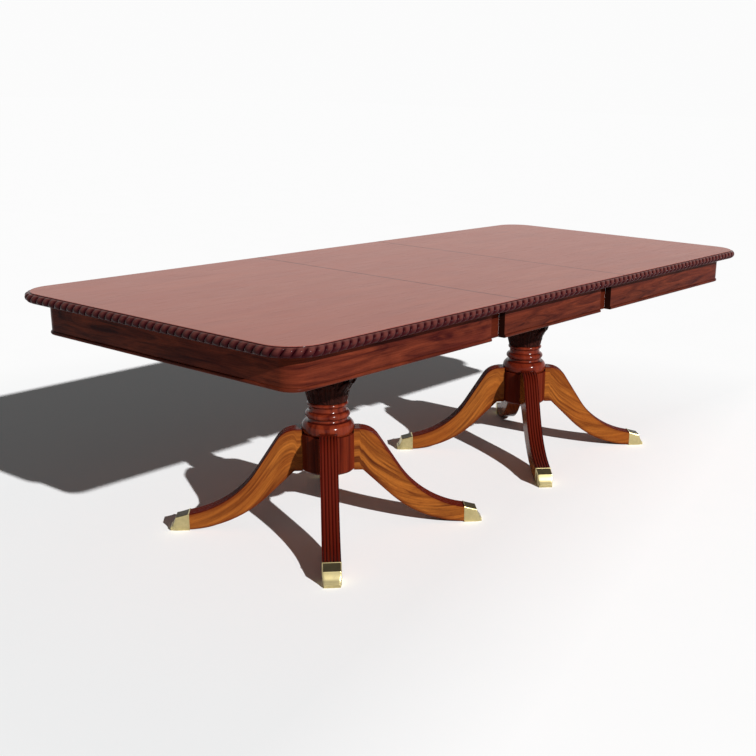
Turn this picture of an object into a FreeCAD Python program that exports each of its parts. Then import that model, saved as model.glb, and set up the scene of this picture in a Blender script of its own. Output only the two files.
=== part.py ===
import FreeCAD, Part
import enum
import math
import os
import re

import Sketcher

# Driving sizes in millimetres and degrees, one sheet cell each
SIZES = {
    # Top, leaf and carved edge
    "top_length": 2438.4,
    "top_width": 1117.6,
    "table_height": 762,
    "leaf_width": 609.6,
    "top_thickness": 27,
    "corner_radius": 112,
    "seam_clearance": 0.4,
    "leaf_clearance": 0.4,
    "edge_width": 16,
    "edge_quirk_inset": 14,
    "edge_quirk_depth": 4,
    "edge_waist_height": 14,
    "edge_foot_inset": 9,
    "edge_upper_round": 12.5,
    "edge_lower_round": 13.5,
    # Apron, bottom bead and blocks behind the apron
    "apron_inset": 64,
    "apron_thickness": 22,
    "apron_depth": 96,
    "apron_gap": 66,
    "bead_height": 10,
    "bead_projection": 4,
    "joint_block_lap": 60,
    "joint_block_thickness": 36,
    "corner_block_side": 90,
    "corner_block_height": 64,
    # Dovetailed extension slides
    "slide_spread": 164,
    "slide_width": 24,
    "slide_depth": 62,
    "slide_gap": 1,
    "slide_length": 760,
    "slide_drop": 0.6,
    "dovetail_reach": 9,
    "dovetail_mouth": 12,
    "dovetail_back": 18,
    "dovetail_clearance": 0.4,
    # Bearer under the slides
    "pedestal_offset": 536,
    "bearer_length": 240,
    "bearer_width": 460,
    "bearer_thickness": 28,
    "bearer_land": 3,
    "bearer_corner": 30,
    "bearer_screw_reach": 85,
    # Frame screws through bearers and slides
    "screw_length": 45,
    "screw_radius": 2.5,
    "screw_head_radius": 5,
    "screw_head_height": 4,
    "screw_clearance": 0.3,
    "rail_bite": 20,
    "bearer_bite": 24,
    "rail_screw_inner": 60,
    "rail_screw_margin": 40,
    "rail_screw_shift": 4,
    # Turned column and its spigots
    "spigot_radius": 30,
    "tenon_radius": 36,
    "tenon_length": 70,
    "fit_clearance": 0.3,
    "collar_height": 40,
    "collar_foot_radius": 76,
    "collar_head_radius": 70,
    "collar_round": 27,
    "low_neck_radius": 63,
    "low_neck_height": 10,
    "low_neck_round": 12,
    "torus_seat_radius": 60,
    "torus_height": 20,
    "torus_round": 10.6,
    "neck_height": 18,
    "neck_round": 14,
    "ring_seat_radius": 59,
    "ring_height": 11,
    "ring_round": 5.8,
    # Carved capital
    "bell_foot_radius": 58,
    "bell_lip_radius": 92,
    "bell_share": 0.54,
    "bell_round": 260,
    "lip_step": 4,
    "lip_height": 18,
    "lip_round": 11,
    "cove_share": 0.2,
    "cove_round": 45,
    "shaft_radius": 66,
    "abacus_radius": 84,
    "abacus_height": 28,
    "abacus_cove_share": 0.115,
    "abacus_cove_round": 26,
    # Drum that takes the legs
    "drum_radius": 84,
    "drum_bottom": 186,
    "drum_height": 120,
    "drum_chamfer": 6,
    "slot_depth": 26,
    "slot_neck": 18,
    "slot_root": 26,
    "slot_stop": 16,
    # Reeded sabre legs
    "leg_count": 4,
    "leg_angle": 45,
    "leg_width": 54,
    "crest_height": 321,
    "crest_radius": 98,
    "shoulder_round": 70,
    "leg_slope": 57,
    "toe_slope": 9,
    "toe_sweep": 300,
    "knee_radius": 106,
    "under_slope": 44,
    "under_sweep": 363,
    "reed_count": 5,
    "reed_pitch": 9.6,
    "reed_height": 3.5,
    "reed_root": 1.5,
    # Brass toe caps
    "cap_back": 429,
    "cap_length": 58,
    "cap_top": 53.5,
    "cap_wall": 2.2,
    "cap_brow_reach": 41,
    "cap_brow_height": 42,
    "cap_lip_height": 10,
    "cap_lip_setback": 1.5,
    "cap_nose_round": 70,
    "cap_taper": 3.5,
    "toe_length": 31,
    "toe_height": 37.5,
    # Steel spider plate under the drum
    "spider_reach": 104,
    "spider_arm": 32,
    "spider_thickness": 3,
    "spider_hub": 52,
    "spider_leg_screw": 94,
    "spider_drum_screw": 47,
    "spider_screw_radius": 2,
    "spider_screw_length": 24,
    "spider_head_radius": 4,
    "spider_head_height": 2.5,
    # Length by which every cut runs past the wood
    "overrun": 5,
}

# Sizes worked out from the driving ones
DERIVED = {
    "half_length": "top_length / 2",
    "half_width": "top_width / 2",
    "seam_x": "leaf_width / 2",
    "half_end": "seam_x + seam_clearance",
    "leaf_end": "seam_x - seam_clearance",
    "top_underside": "table_height - top_thickness",
    "leaf_underside": "top_underside + leaf_clearance",
    "edge_quirk": "table_height - edge_quirk_depth",
    "edge_waist": "top_underside + edge_waist_height",
    "panel_y": "half_width - edge_width",
    "panel_corner": "corner_radius - edge_width",
    "apron_bottom": "top_underside - apron_depth",
    "bead_top": "apron_bottom + bead_height",
    "board_height": "apron_depth - bead_height",
    "apron_y": "half_width - apron_inset",
    "apron_back_y": "apron_y - apron_thickness",
    "apron_corner": "corner_radius - apron_inset",
    "apron_inner_corner": "apron_corner - apron_thickness",
    "bead_nose": "(bead_height ^ 2 / 4 + bead_projection ^ 2) / (2 * bead_projection)",
    "apron_x": "half_length - apron_inset",
    "apron_back_x": "apron_x - apron_thickness",
    "slide_bottom": "top_underside - slide_depth",
    "slide_middle": "top_underside - slide_depth / 2",
    "slide_pitch": "slide_width + slide_gap",
    "outer_rail_y": "slide_spread + slide_pitch",
    "inner_rail_y": "slide_spread - slide_pitch",
    "rail_screw_outer": "slide_length / 2 - rail_screw_margin",
    "outer_screw_y": "outer_rail_y + rail_screw_shift",
    "inner_screw_y": "inner_rail_y - rail_screw_shift",
    "dovetail_flare": "(dovetail_back - dovetail_mouth) / 2 * slide_gap / dovetail_reach",
    "groove_mouth": "dovetail_mouth / 2 + dovetail_flare + dovetail_clearance",
    "groove_back": "dovetail_back / 2 + dovetail_clearance",
    "bearer_top": "slide_bottom - bearer_land",
    "bearer_bottom": "bearer_top - bearer_thickness",
    "rail_grip": "screw_length - rail_bite",
    "bearer_grip": "screw_length - bearer_bite",
    "screw_hole": "screw_radius + screw_clearance",
    "head_hole": "screw_head_radius + screw_clearance",
    "spigot_bore": "spigot_radius + fit_clearance",
    "drum_top": "drum_bottom + drum_height",
    "tenon_bottom": "drum_top - tenon_length",
    "tenon_bore": "tenon_radius + fit_clearance",
    "collar_top": "drum_top + collar_height",
    "collar_chord": "sqrt((collar_foot_radius - collar_head_radius) ^ 2 + collar_height ^ 2)",
    "collar_rise": "sqrt(collar_round ^ 2 - collar_chord ^ 2 / 4)",
    "collar_middle": "(collar_foot_radius + collar_head_radius) / 2",
    "collar_radius": "collar_middle - collar_rise * collar_height / collar_chord + collar_round",
    "torus_bottom": "collar_top + low_neck_height",
    "torus_top": "torus_bottom + torus_height",
    "ring_bottom": "torus_top + neck_height",
    "ring_top": "ring_bottom + ring_height",
    "capital_free": "bearer_bottom - ring_top - lip_height - abacus_height",
    "bell_top": "ring_top + bell_share * capital_free",
    "lip_radius": "bell_lip_radius + lip_step",
    "lip_top": "bell_top + lip_height",
    "shaft_bottom": "lip_top + cove_share * capital_free",
    "abacus_bottom": "bearer_bottom - abacus_height",
    "shaft_top": "abacus_bottom - abacus_cove_share * capital_free",
    "slot_inner": "drum_radius - slot_depth",
    "slot_top": "drum_top - slot_stop",
    "slope_sine": "sin(leg_slope)",
    "slope_cosine": "cos(leg_slope)",
    "toe_sine": "sin(toe_slope)",
    "toe_cosine": "cos(toe_slope)",
    "leg_end": "cap_back - fit_clearance",
    "shoulder_r": "crest_radius + shoulder_round * slope_sine",
    "shoulder_z": "crest_height - shoulder_round * (1 - slope_cosine)",
    "sweep_r": "leg_end - toe_sweep * (slope_sine - toe_sine)",
    "sweep_z": "shoulder_z - (sweep_r - shoulder_r) * slope_sine / slope_cosine",
    "toe_z": "sweep_z - toe_sweep * (toe_cosine - slope_cosine)",
    "toe_floor": "cap_wall + fit_clearance",
    "under_start_z": "toe_floor + under_sweep * (1 - cos(under_slope))",
    "under_start_r": "knee_radius + (drum_bottom - under_start_z) / tan(under_slope)",
    "under_end_r": "under_start_r + under_sweep * sin(under_slope)",
    "toe_end": "leg_end + toe_length",
    "reed_half": "reed_count * reed_pitch / 2",
    "reed_round": "(reed_pitch ^ 2 / 4 + reed_height ^ 2) / (2 * reed_height)",
    "cap_nose": "cap_back + cap_length",
    "cap_brow": "cap_back + cap_brow_reach",
    "cap_inner_end": "toe_end + fit_clearance",
    "cap_inner_brow": "cap_brow_height - cap_wall",
    "cap_inner_top": "cap_top - cap_wall",
    "toe_half_width": "leg_width / 2 - cap_wall - fit_clearance",
    "spider_bottom": "drum_bottom - spider_thickness",
    "spider_hole": "spider_screw_radius + screw_clearance",
}

# Vertices of a line, arc or circle as the sketches number them, from one
Vertex = enum.IntEnum("Vertex", "START END CENTRE")

doc = FreeCAD.newDocument("double_pedestal_table")
sheet = doc.addObject("Spreadsheet::Sheet", "Sizes")
for row, (word, amount) in enumerate(SIZES.items(), start=1):
    sheet.set(f"A{row}", word)
    sheet.set(f"B{row}", str(amount))
    sheet.setAlias(f"B{row}", word)
doc.recompute()

nodes = []


def formula(text):
    """Rewrite the size words of a sum as references to the sheet."""
    def refer(match):
        word = match.group(0)
        if word in DERIVED:
            return f"({formula(DERIVED[word])})"
        return f"Sizes.{word}" if word in SIZES else word
    return re.sub(r"[a-z_]+", refer, text)


def size(text):
    """The present value of a sum of sizes."""
    return float(sheet.evalExpression(formula(text)))


def leg_yaws():
    """The directions of the legs of one pedestal, in degrees."""
    count = round(size("leg_count"))
    return [size("leg_angle") + 360 * number / count for number in range(count)]


def new_body(label, at=("0", "0", "0"), yaw=0):
    """An empty body whose origin stands at a named place, turned about Z."""
    body = doc.addObject("PartDesign::Body", label)
    body.Label = label
    body.Placement = FreeCAD.Placement(FreeCAD.Vector(), FreeCAD.Rotation(yaw, 0, 0))
    for axis, text in zip("xyz", at):
        body.setExpression(f"Placement.Base.{axis}", formula(text))
    nodes.append(body)
    return body


def origin_part(body, role):
    """An origin plane or axis of a body by its role."""
    return next(item for item in body.Origin.OriginFeatures if item.Role == role)


def new_sketch(body, role, name, level="0"):
    """A sketch on an origin plane of its body, moved along that plane's normal."""
    sketch = body.newObject("Sketcher::SketchObject", name)
    sketch.AttachmentSupport = [(origin_part(body, role), "")]
    sketch.MapMode = "FlatFace"
    sketch.setExpression("AttachmentOffset.Base.z", formula(level))
    return sketch


def pin(sketch, edge, vertex, place):
    """Hold a vertex at a place given as two sums of sizes."""
    across, upright = -1, -2
    for kind, text, axis in (("DistanceX", place[0], upright), ("DistanceY", place[1], across)):
        amount = size(text)
        if math.isclose(amount, 0, abs_tol=1e-9):
            sketch.addConstraint(Sketcher.Constraint("PointOnObject", edge, vertex, axis))
            continue
        held = sketch.addConstraint(Sketcher.Constraint(kind, across, Vertex.START, edge, vertex, amount))
        sketch.setExpression(f"Constraints[{held}]", formula(text))


def arc_between(first, last, bend):
    """A minor arc from first to last that turns left for a positive bend, right for a negative one."""
    chord = last - first
    radius = abs(bend)
    rise = math.sqrt(radius ** 2 - (chord.Length / 2) ** 2)
    left = FreeCAD.Vector(-chord.y, chord.x, 0).normalize()
    middle = (first + last) / 2 + left * math.copysign(rise, bend)
    ends = (first, last) if bend > 0 else (last, first)
    turns = [math.atan2(end.y - middle.y, end.x - middle.x) for end in ends]
    circle = Part.Circle(middle, FreeCAD.Vector(0, 0, 1), radius)
    return Part.ArcOfCircle(circle, turns[0], turns[1])


def trace(sketch, corners, closed=True):
    """Draw lines and arcs from corner to corner; a third entry bends the stretch that ends there."""
    spots = [FreeCAD.Vector(size(corner[0]), size(corner[1]), 0) for corner in corners]
    pairs = [(index, index + 1) for index in range(len(corners) - 1)]
    if closed:
        pairs.append((len(corners) - 1, 0))
    ends = []
    for first, last in pairs:
        bend = corners[last][2] if len(corners[last]) > 2 else None
        if bend is None:
            edge = sketch.addGeometry(Part.LineSegment(spots[first], spots[last]), False)
            ends.append((edge, Vertex.START, Vertex.END))
            continue
        edge = sketch.addGeometry(arc_between(spots[first], spots[last], size(bend)), False)
        order = (Vertex.START, Vertex.END) if size(bend) > 0 else (Vertex.END, Vertex.START)
        ends.append((edge, *order))
        held = sketch.addConstraint(Sketcher.Constraint("Radius", edge, abs(size(bend))))
        sketch.setExpression(f"Constraints[{held}]", formula(f"abs({bend})"))
    for (edge, _, tail), (after, head, _) in zip(ends, ends[1:]):
        sketch.addConstraint(Sketcher.Constraint("Coincident", edge, tail, after, head))
    if closed:
        last, first = ends[-1], ends[0]
        sketch.addConstraint(Sketcher.Constraint("Coincident", last[0], last[2], first[0], first[1]))
    else:
        pin(sketch, ends[-1][0], ends[-1][2], corners[-1])
    for (edge, head, _), (first, _) in zip(ends, pairs):
        pin(sketch, edge, head, corners[first])


def rectangle(sketch, low, high):
    """Draw a rectangle between two corners."""
    trace(sketch, [low, (high[0], low[1]), high, (low[0], high[1])])


def circle(sketch, place, radius):
    """Draw a circle of a named radius at a named place."""
    spot = FreeCAD.Vector(size(place[0]), size(place[1]), 0)
    edge = sketch.addGeometry(Part.Circle(spot, FreeCAD.Vector(0, 0, 1), size(radius)), False)
    pin(sketch, edge, Vertex.CENTRE, place)
    held = sketch.addConstraint(Sketcher.Constraint("Radius", edge, size(radius)))
    sketch.setExpression(f"Constraints[{held}]", formula(radius))


def pad(body, sketch, length, symmetric=False):
    """Raise a sketch by a named length, along its normal or to both sides."""
    feature = body.newObject("PartDesign::Pad", sketch.Name + "_pad")
    feature.Profile = sketch
    feature.setExpression("Length", formula(length))
    feature.SideType = "Symmetric" if symmetric else "One side"
    doc.recompute()
    return feature


def cut(body, sketch, length, symmetric=False):
    """Cut a sketch along its normal by a named length and make sure that wood was removed."""
    before = body.Shape.Volume
    feature = body.newObject("PartDesign::Pocket", sketch.Name + "_cut")
    feature.Profile = sketch
    feature.Type = "Length"
    feature.setExpression("Length", formula(length))
    feature.SideType = "Symmetric" if symmetric else "One side"
    feature.Reversed = not symmetric
    doc.recompute()
    if not body.Shape.Volume < before:
        raise RuntimeError(f"{feature.Name} removes nothing")
    return feature


def turn(body, sketch):
    """Turn a half profile about the upright axis of its sketch."""
    feature = body.newObject("PartDesign::Revolution", sketch.Name + "_turning")
    feature.Profile = sketch
    feature.ReferenceAxis = (sketch, ["V_Axis"])
    doc.recompute()
    return feature


def run_along(body, profile, path):
    """Carry a profile along an open path."""
    feature = body.newObject("PartDesign::AdditivePipe", profile.Name + "_run")
    feature.Profile = profile
    feature.Spine = (path, [f"Edge{index + 1}" for index in range(path.GeometryCount)])
    doc.recompute()
    return feature


def around_axis(body, feature):
    """Repeat a feature for each leg round the upright axis of its body."""
    pattern = body.newObject("PartDesign::PolarPattern", feature.Name + "_round")
    pattern.Originals = [feature]
    pattern.Axis = (origin_part(body, "Z_Axis"), [""])
    pattern.Occurrences = len(leg_yaws())
    body.Tip = pattern
    doc.recompute()


def raised(label, level, height, outlines=(), rounds=(), yaw=0):
    """Separate blocks in one object, raised together from outlines and circles at one level."""
    sketch = doc.addObject("Sketcher::SketchObject", label + "_outline")
    for outline in outlines:
        trace(sketch, outline)
    for place, radius in rounds:
        circle(sketch, place, radius)
    sketch.setExpression("Placement.Base.z", formula(level))
    group = doc.addObject("Part::Extrusion", label)
    group.Label = label
    group.Base = sketch
    group.DirMode = "Normal"
    group.Solid = True
    group.setExpression("LengthFwd", formula(height))
    group.Placement = FreeCAD.Placement(FreeCAD.Vector(), FreeCAD.Rotation(yaw, 0, 0))
    return group


def screw_row(label, level, spots, shank, head):
    """Upright screws with their heads below one level; shank and head are a length and a radius each."""
    return [
        raised(f"{label}_shanks", level, shank[0], rounds=[(spot, shank[1]) for spot in spots]),
        raised(f"{label}_heads", f"{level} - {head[0]}", head[0], rounds=[(spot, head[1]) for spot in spots]),
    ]


def screw_group(label, rows):
    """Join the shanks and heads of several rows of screws in one node."""
    group = doc.addObject("Part::MultiFuse", label)
    group.Label = label
    group.Shapes = rows
    nodes.append(group)


def end_path(stop, inset, radius):
    """The three-sided line round one end of the table, a named inset from the edge of the top."""
    near = f"{inset} - half_width"
    far = f"half_width - {inset}"
    side = f"{inset} - half_length"
    bend = "corner_radius - half_length"
    return [
        (f"-({stop})", near),
        (bend, near),
        (side, "corner_radius - half_width", f"-({radius})"),
        (side, "half_width - corner_radius"),
        (bend, far, f"-({radius})"),
        (f"-({stop})", far),
    ]


def end_top(tag, yaw, screw_y):
    """Veneered panel of one end, with pilot holes for the slide screws."""
    body = new_body(f"top_panel_{tag}", yaw=yaw)
    outline = new_sketch(body, "XY_Plane", f"panel_outline_{tag}", "top_underside")
    trace(outline, end_path("half_end", "edge_width", "panel_corner"))
    pad(body, outline, "top_thickness")
    pilots = new_sketch(body, "XY_Plane", f"panel_pilots_{tag}", "top_underside")
    for reach in ("rail_screw_inner", "rail_screw_outer"):
        for sign in ("", "-"):
            circle(pilots, (f"-(seam_x + {reach})", f"{sign}({screw_y})"), "screw_hole")
    cut(body, pilots, "rail_bite + screw_clearance")


def edge_section(sketch, underside):
    """Section of the carved edge: flat margin, quirk and thumb moulding."""
    trace(sketch, [
        ("edge_width - half_width", "table_height"),
        ("edge_quirk_inset - half_width", "table_height"),
        ("edge_quirk_inset - half_width", "edge_quirk"),
        ("-half_width", "edge_waist", "edge_upper_round"),
        ("edge_foot_inset - half_width", underside, "edge_lower_round"),
        ("edge_width - half_width", underside),
    ])


def bead_section(sketch):
    """Section of the bottom bead: a strip under the apron with a rounded nose."""
    trace(sketch, [
        ("-apron_back_y", "apron_bottom"),
        ("-apron_back_y", "bead_top"),
        ("-apron_y", "bead_top"),
        ("-apron_y", "apron_bottom", "bead_nose"),
    ])


def end_edge(tag, yaw):
    """Edge moulding carried round the three free sides of one end."""
    body = new_body(f"edge_moulding_{tag}", yaw=yaw)
    path = new_sketch(body, "XY_Plane", f"edge_path_{tag}", "edge_waist")
    trace(path, end_path("half_end", "0", "corner_radius"), closed=False)
    section = new_sketch(body, "YZ_Plane", f"edge_section_{tag}", "-(half_end)")
    edge_section(section, "top_underside")
    doc.recompute()
    run_along(body, section, path)


def end_apron(tag, yaw, stop):
    """Bent apron board of one end; stop is where it ends, measured from the middle of the table."""
    body = new_body(f"apron_{tag}", yaw=yaw)
    outline = new_sketch(body, "XY_Plane", f"apron_outline_{tag}", "bead_top")
    outer = end_path(stop, "apron_inset", "apron_corner")
    inner = end_path(stop, "(apron_inset + apron_thickness)", "apron_inner_corner")
    back = [corner[:2] for corner in reversed(inner)]
    back[2] += ("apron_inner_corner",)
    back[4] += ("apron_inner_corner",)
    trace(outline, outer + back)
    pad(body, outline, "board_height")


def end_bead(tag, yaw, stop):
    """Bead under the apron of one end."""
    body = new_body(f"apron_bead_{tag}", yaw=yaw)
    path = new_sketch(body, "XY_Plane", f"bead_path_{tag}", "apron_bottom")
    trace(path, end_path(stop, "apron_inset", "apron_corner"), closed=False)
    section = new_sketch(body, "YZ_Plane", f"bead_section_{tag}", f"-({stop})")
    bead_section(section)
    doc.recompute()
    run_along(body, section, path)


def corner_blocks(tag, yaw):
    """Glue blocks across the two rounded corners of one apron."""
    outlines = []
    for sign in ("-", ""):
        outlines.append([
            ("apron_inner_corner - apron_back_x", f"{sign}(apron_back_y)"),
            ("corner_block_side - apron_back_x", f"{sign}(apron_back_y)"),
            ("-apron_back_x", f"{sign}(apron_back_y - corner_block_side)"),
            ("-apron_back_x", f"{sign}(apron_back_y - apron_inner_corner)"),
        ])
    level = "top_underside - corner_block_height"
    nodes.append(raised(f"corner_blocks_{tag}", level, "corner_block_height", outlines, yaw=yaw))


def joint_blocks(label, seam, underside):
    """Blocks behind the apron gap of a section, seen at the recess beside its right-hand seam."""
    outlines = []
    for sign in ("-", ""):
        outlines.append([
            (f"{seam} - apron_gap - joint_block_lap", f"{sign}(apron_back_y)"),
            (f"{seam} - seam_clearance", f"{sign}(apron_back_y)"),
            (f"{seam} - seam_clearance", f"{sign}(apron_back_y - joint_block_thickness)"),
            (f"{seam} - apron_gap - joint_block_lap", f"{sign}(apron_back_y - joint_block_thickness)"),
        ])
    nodes.append(raised(label, "apron_bottom", f"{underside} - apron_bottom", outlines))


def leaf():
    """Loose leaf: panel, two edge mouldings and two aprons with their beads."""
    panel = new_body("leaf_panel")
    outline = new_sketch(panel, "XY_Plane", "leaf_outline", "leaf_underside")
    rectangle(outline, ("-(leaf_end)", "-(panel_y)"), ("leaf_end", "panel_y"))
    pad(panel, outline, "top_thickness - leaf_clearance")
    apron_length = "leaf_end + seam_x - apron_gap"
    apron_middle = "(seam_x - apron_gap - leaf_end) / 2"
    for side, yaw, facing in (("front", 0, ""), ("back", 180, "-")):
        edge = new_body(f"leaf_edge_{side}", yaw=yaw)
        section = new_sketch(edge, "YZ_Plane", f"leaf_edge_section_{side}")
        edge_section(section, "leaf_underside")
        pad(edge, section, "2 * (leaf_end)", symmetric=True)
        board = new_body(f"leaf_apron_{side}", at=(apron_middle, "0", "0"), yaw=yaw)
        section = new_sketch(board, "YZ_Plane", f"leaf_apron_section_{side}")
        rectangle(section, ("-apron_y", "bead_top"), ("-apron_back_y", "leaf_underside"))
        pad(board, section, apron_length, symmetric=True)
        bead = new_body(f"leaf_bead_{side}", at=(apron_middle, "0", "0"), yaw=yaw)
        section = new_sketch(bead, "YZ_Plane", f"leaf_bead_section_{side}")
        bead_section(section)
        pad(bead, section, apron_length, symmetric=True)
    joint_blocks("leaf_joint_blocks", "seam_x", "leaf_underside")


def fixed_slide(label, side, row, yaw):
    """Slide screwed under one end, grooved for the centre slide and drilled for its screws."""
    place = (f"{side} * (seam_x)", row, "0")
    body = new_body(label, at=place, yaw=yaw)
    section = new_sketch(body, "YZ_Plane", f"{label}_section")
    face = "-slide_width / 2"
    groove = "dovetail_reach + dovetail_clearance - slide_gap - slide_width / 2"
    trace(section, [
        (face, "slide_bottom"),
        ("slide_width / 2", "slide_bottom"),
        ("slide_width / 2", "top_underside"),
        (face, "top_underside"),
        (face, "slide_middle + groove_mouth"),
        (groove, "slide_middle + groove_back"),
        (groove, "slide_middle - groove_back"),
        (face, "slide_middle - groove_mouth"),
    ])
    pad(body, section, "slide_length", symmetric=True)
    inward = side if yaw == 0 else -side
    heads = new_sketch(body, "XY_Plane", f"{label}_heads", "slide_bottom")
    shanks = new_sketch(body, "XY_Plane", f"{label}_shanks", "slide_bottom")
    for reach in ("rail_screw_inner", "rail_screw_outer"):
        circle(heads, (f"{inward} * ({reach})", "rail_screw_shift"), "head_hole")
        circle(shanks, (f"{inward} * ({reach})", "rail_screw_shift"), "screw_hole")
    cut(body, heads, "slide_depth - rail_grip")
    cut(body, shanks, "slide_depth + overrun")
    pilots = new_sketch(body, "XY_Plane", f"{label}_pilots", "slide_bottom")
    for step in ("-", "+"):
        reach = f"{inward} * (pedestal_offset - seam_x {step} bearer_screw_reach)"
        circle(pilots, (reach, "rail_screw_shift"), "screw_hole")
    cut(body, pilots, "bearer_bite + screw_clearance")


def centre_slide(label, row):
    """Centre slide with a dovetail tongue on both faces."""
    body = new_body(label, at=("0", row, "0"))
    section = new_sketch(body, "YZ_Plane", f"{label}_section")
    face = "slide_width / 2"
    tip = "slide_width / 2 + dovetail_reach"
    trace(section, [
        ("-slide_width / 2", "slide_bottom + slide_drop"),
        (face, "slide_bottom + slide_drop"),
        (face, "slide_middle - dovetail_mouth / 2"),
        (tip, "slide_middle - dovetail_back / 2"),
        (tip, "slide_middle + dovetail_back / 2"),
        (face, "slide_middle + dovetail_mouth / 2"),
        (face, "top_underside - slide_drop"),
        ("-slide_width / 2", "top_underside - slide_drop"),
        ("-slide_width / 2", "slide_middle + dovetail_mouth / 2"),
        (f"-({tip})", "slide_middle + dovetail_back / 2"),
        (f"-({tip})", "slide_middle - dovetail_back / 2"),
        ("-slide_width / 2", "slide_middle - dovetail_mouth / 2"),
    ])
    pad(body, section, "slide_length", symmetric=True)


def bearer(tag, axis, rail_y, screw_y):
    """Bearer plate on the column, with lands that carry only the slides of its own end."""
    body = new_body(f"bearer_{tag}", at=(axis, "0", "0"))
    outline = new_sketch(body, "XY_Plane", f"bearer_outline_{tag}", "bearer_bottom")
    x, y, bend = "bearer_length / 2", "bearer_width / 2", "bearer_corner"
    trace(outline, [
        (f"{bend} - {x}", f"-{y}", bend),
        (f"{x} - {bend}", f"-{y}"),
        (x, f"{bend} - {y}", bend),
        (x, f"{y} - {bend}"),
        (f"{x} - {bend}", y, bend),
        (f"{bend} - {x}", y),
        (f"-{x}", f"{y} - {bend}", bend),
        (f"-{x}", f"{bend} - {y}"),
    ])
    pad(body, outline, "bearer_thickness")
    lands = new_sketch(body, "XY_Plane", f"bearer_lands_{tag}", "bearer_top")
    heads = new_sketch(body, "XY_Plane", f"bearer_heads_{tag}", "bearer_bottom")
    shanks = new_sketch(body, "XY_Plane", f"bearer_shanks_{tag}", "bearer_bottom")
    for sign in ("-", ""):
        row = f"{sign}({rail_y})"
        low = (f"{bend} - {x}", f"{row} - slide_width / 2")
        high = (f"{x} - {bend}", f"{row} + slide_width / 2")
        rectangle(lands, low, high)
        for step in ("-", ""):
            spot = (f"{step}bearer_screw_reach", f"{sign}({screw_y})")
            circle(heads, spot, "head_hole")
            circle(shanks, spot, "screw_hole")
    pad(body, lands, "bearer_land")
    cut(body, heads, "bearer_thickness + bearer_land - bearer_grip")
    cut(body, shanks, "bearer_thickness + bearer_land + overrun")
    mortise = new_sketch(body, "XY_Plane", f"bearer_mortise_{tag}", "bearer_bottom")
    circle(mortise, ("0", "0"), "spigot_bore")
    cut(body, mortise, "bearer_thickness + overrun")


def capital(tag, axis):
    """Capital: a carved bell on the ring of the column, a lip, a cove, a short shaft and an abacus."""
    body = new_body(f"capital_{tag}", at=(axis, "0", "0"))
    profile = new_sketch(body, "XZ_Plane", f"capital_profile_{tag}")
    trace(profile, [
        ("spigot_bore", "ring_top"),
        ("bell_foot_radius", "ring_top"),
        ("bell_lip_radius", "bell_top", "-bell_round"),
        ("lip_radius", "bell_top"),
        ("lip_radius", "lip_top", "lip_round"),
        ("bell_lip_radius", "lip_top"),
        ("shaft_radius", "shaft_bottom", "-cove_round"),
        ("shaft_radius", "shaft_top"),
        ("abacus_radius", "abacus_bottom", "-abacus_cove_round"),
        ("abacus_radius", "bearer_bottom"),
        ("spigot_bore", "bearer_bottom"),
    ])
    turn(body, profile)


def column(tag, axis):
    """Turned column: tenon for the drum, collar, torus and ring, and a spigot up through the bearer."""
    body = new_body(f"column_{tag}", at=(axis, "0", "0"))
    profile = new_sketch(body, "XZ_Plane", f"column_profile_{tag}")
    trace(profile, [
        ("0", "tenon_bottom"),
        ("tenon_radius", "tenon_bottom"),
        ("tenon_radius", "drum_top"),
        ("collar_foot_radius", "drum_top"),
        ("collar_head_radius", "collar_top", "collar_round"),
        ("low_neck_radius", "collar_top"),
        ("torus_seat_radius", "torus_bottom", "-low_neck_round"),
        ("torus_seat_radius", "torus_top", "torus_round"),
        ("ring_seat_radius", "ring_bottom", "-neck_round"),
        ("ring_seat_radius", "ring_top", "ring_round"),
        ("spigot_radius", "ring_top"),
        ("spigot_radius", "bearer_top"),
        ("0", "bearer_top"),
    ])
    turn(body, profile)


def drum(tag, axis):
    """Drum bored for the column, with a dovetail slot open below for each leg."""
    body = new_body(f"drum_{tag}", at=(axis, "0", "0"), yaw=leg_yaws()[0])
    profile = new_sketch(body, "XZ_Plane", f"drum_profile_{tag}")
    trace(profile, [
        ("0", "drum_bottom"),
        ("drum_radius - drum_chamfer", "drum_bottom"),
        ("drum_radius", "drum_bottom + drum_chamfer"),
        ("drum_radius", "drum_top"),
        ("tenon_bore", "drum_top"),
        ("tenon_bore", "tenon_bottom - fit_clearance"),
        ("0", "tenon_bottom - fit_clearance"),
    ])
    turn(body, profile)
    slot = new_sketch(body, "XY_Plane", f"drum_slot_{tag}", "drum_bottom")
    dovetail(slot, "slot_inner", "drum_radius + overrun", "fit_clearance")
    around_axis(body, cut(body, slot, "slot_top - drum_bottom"))
    pilot = new_sketch(body, "XY_Plane", f"drum_pilot_{tag}", "drum_bottom")
    circle(pilot, ("spider_drum_screw", "0"), "spider_hole")
    around_axis(body, cut(body, pilot, "spider_screw_length + screw_clearance"))


def dovetail(sketch, inner, outer, ease):
    """Dovetail in plan: widest at the inner end, with straight cheeks outside the drum."""
    neck = f"(slot_neck / 2 + {ease})"
    root = f"(slot_root / 2 + {ease})"
    trace(sketch, [
        (inner, f"-{root}"),
        ("drum_radius", f"-{neck}"),
        (outer, f"-{neck}"),
        (outer, neck),
        ("drum_radius", neck),
        (inner, root),
    ])


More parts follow.
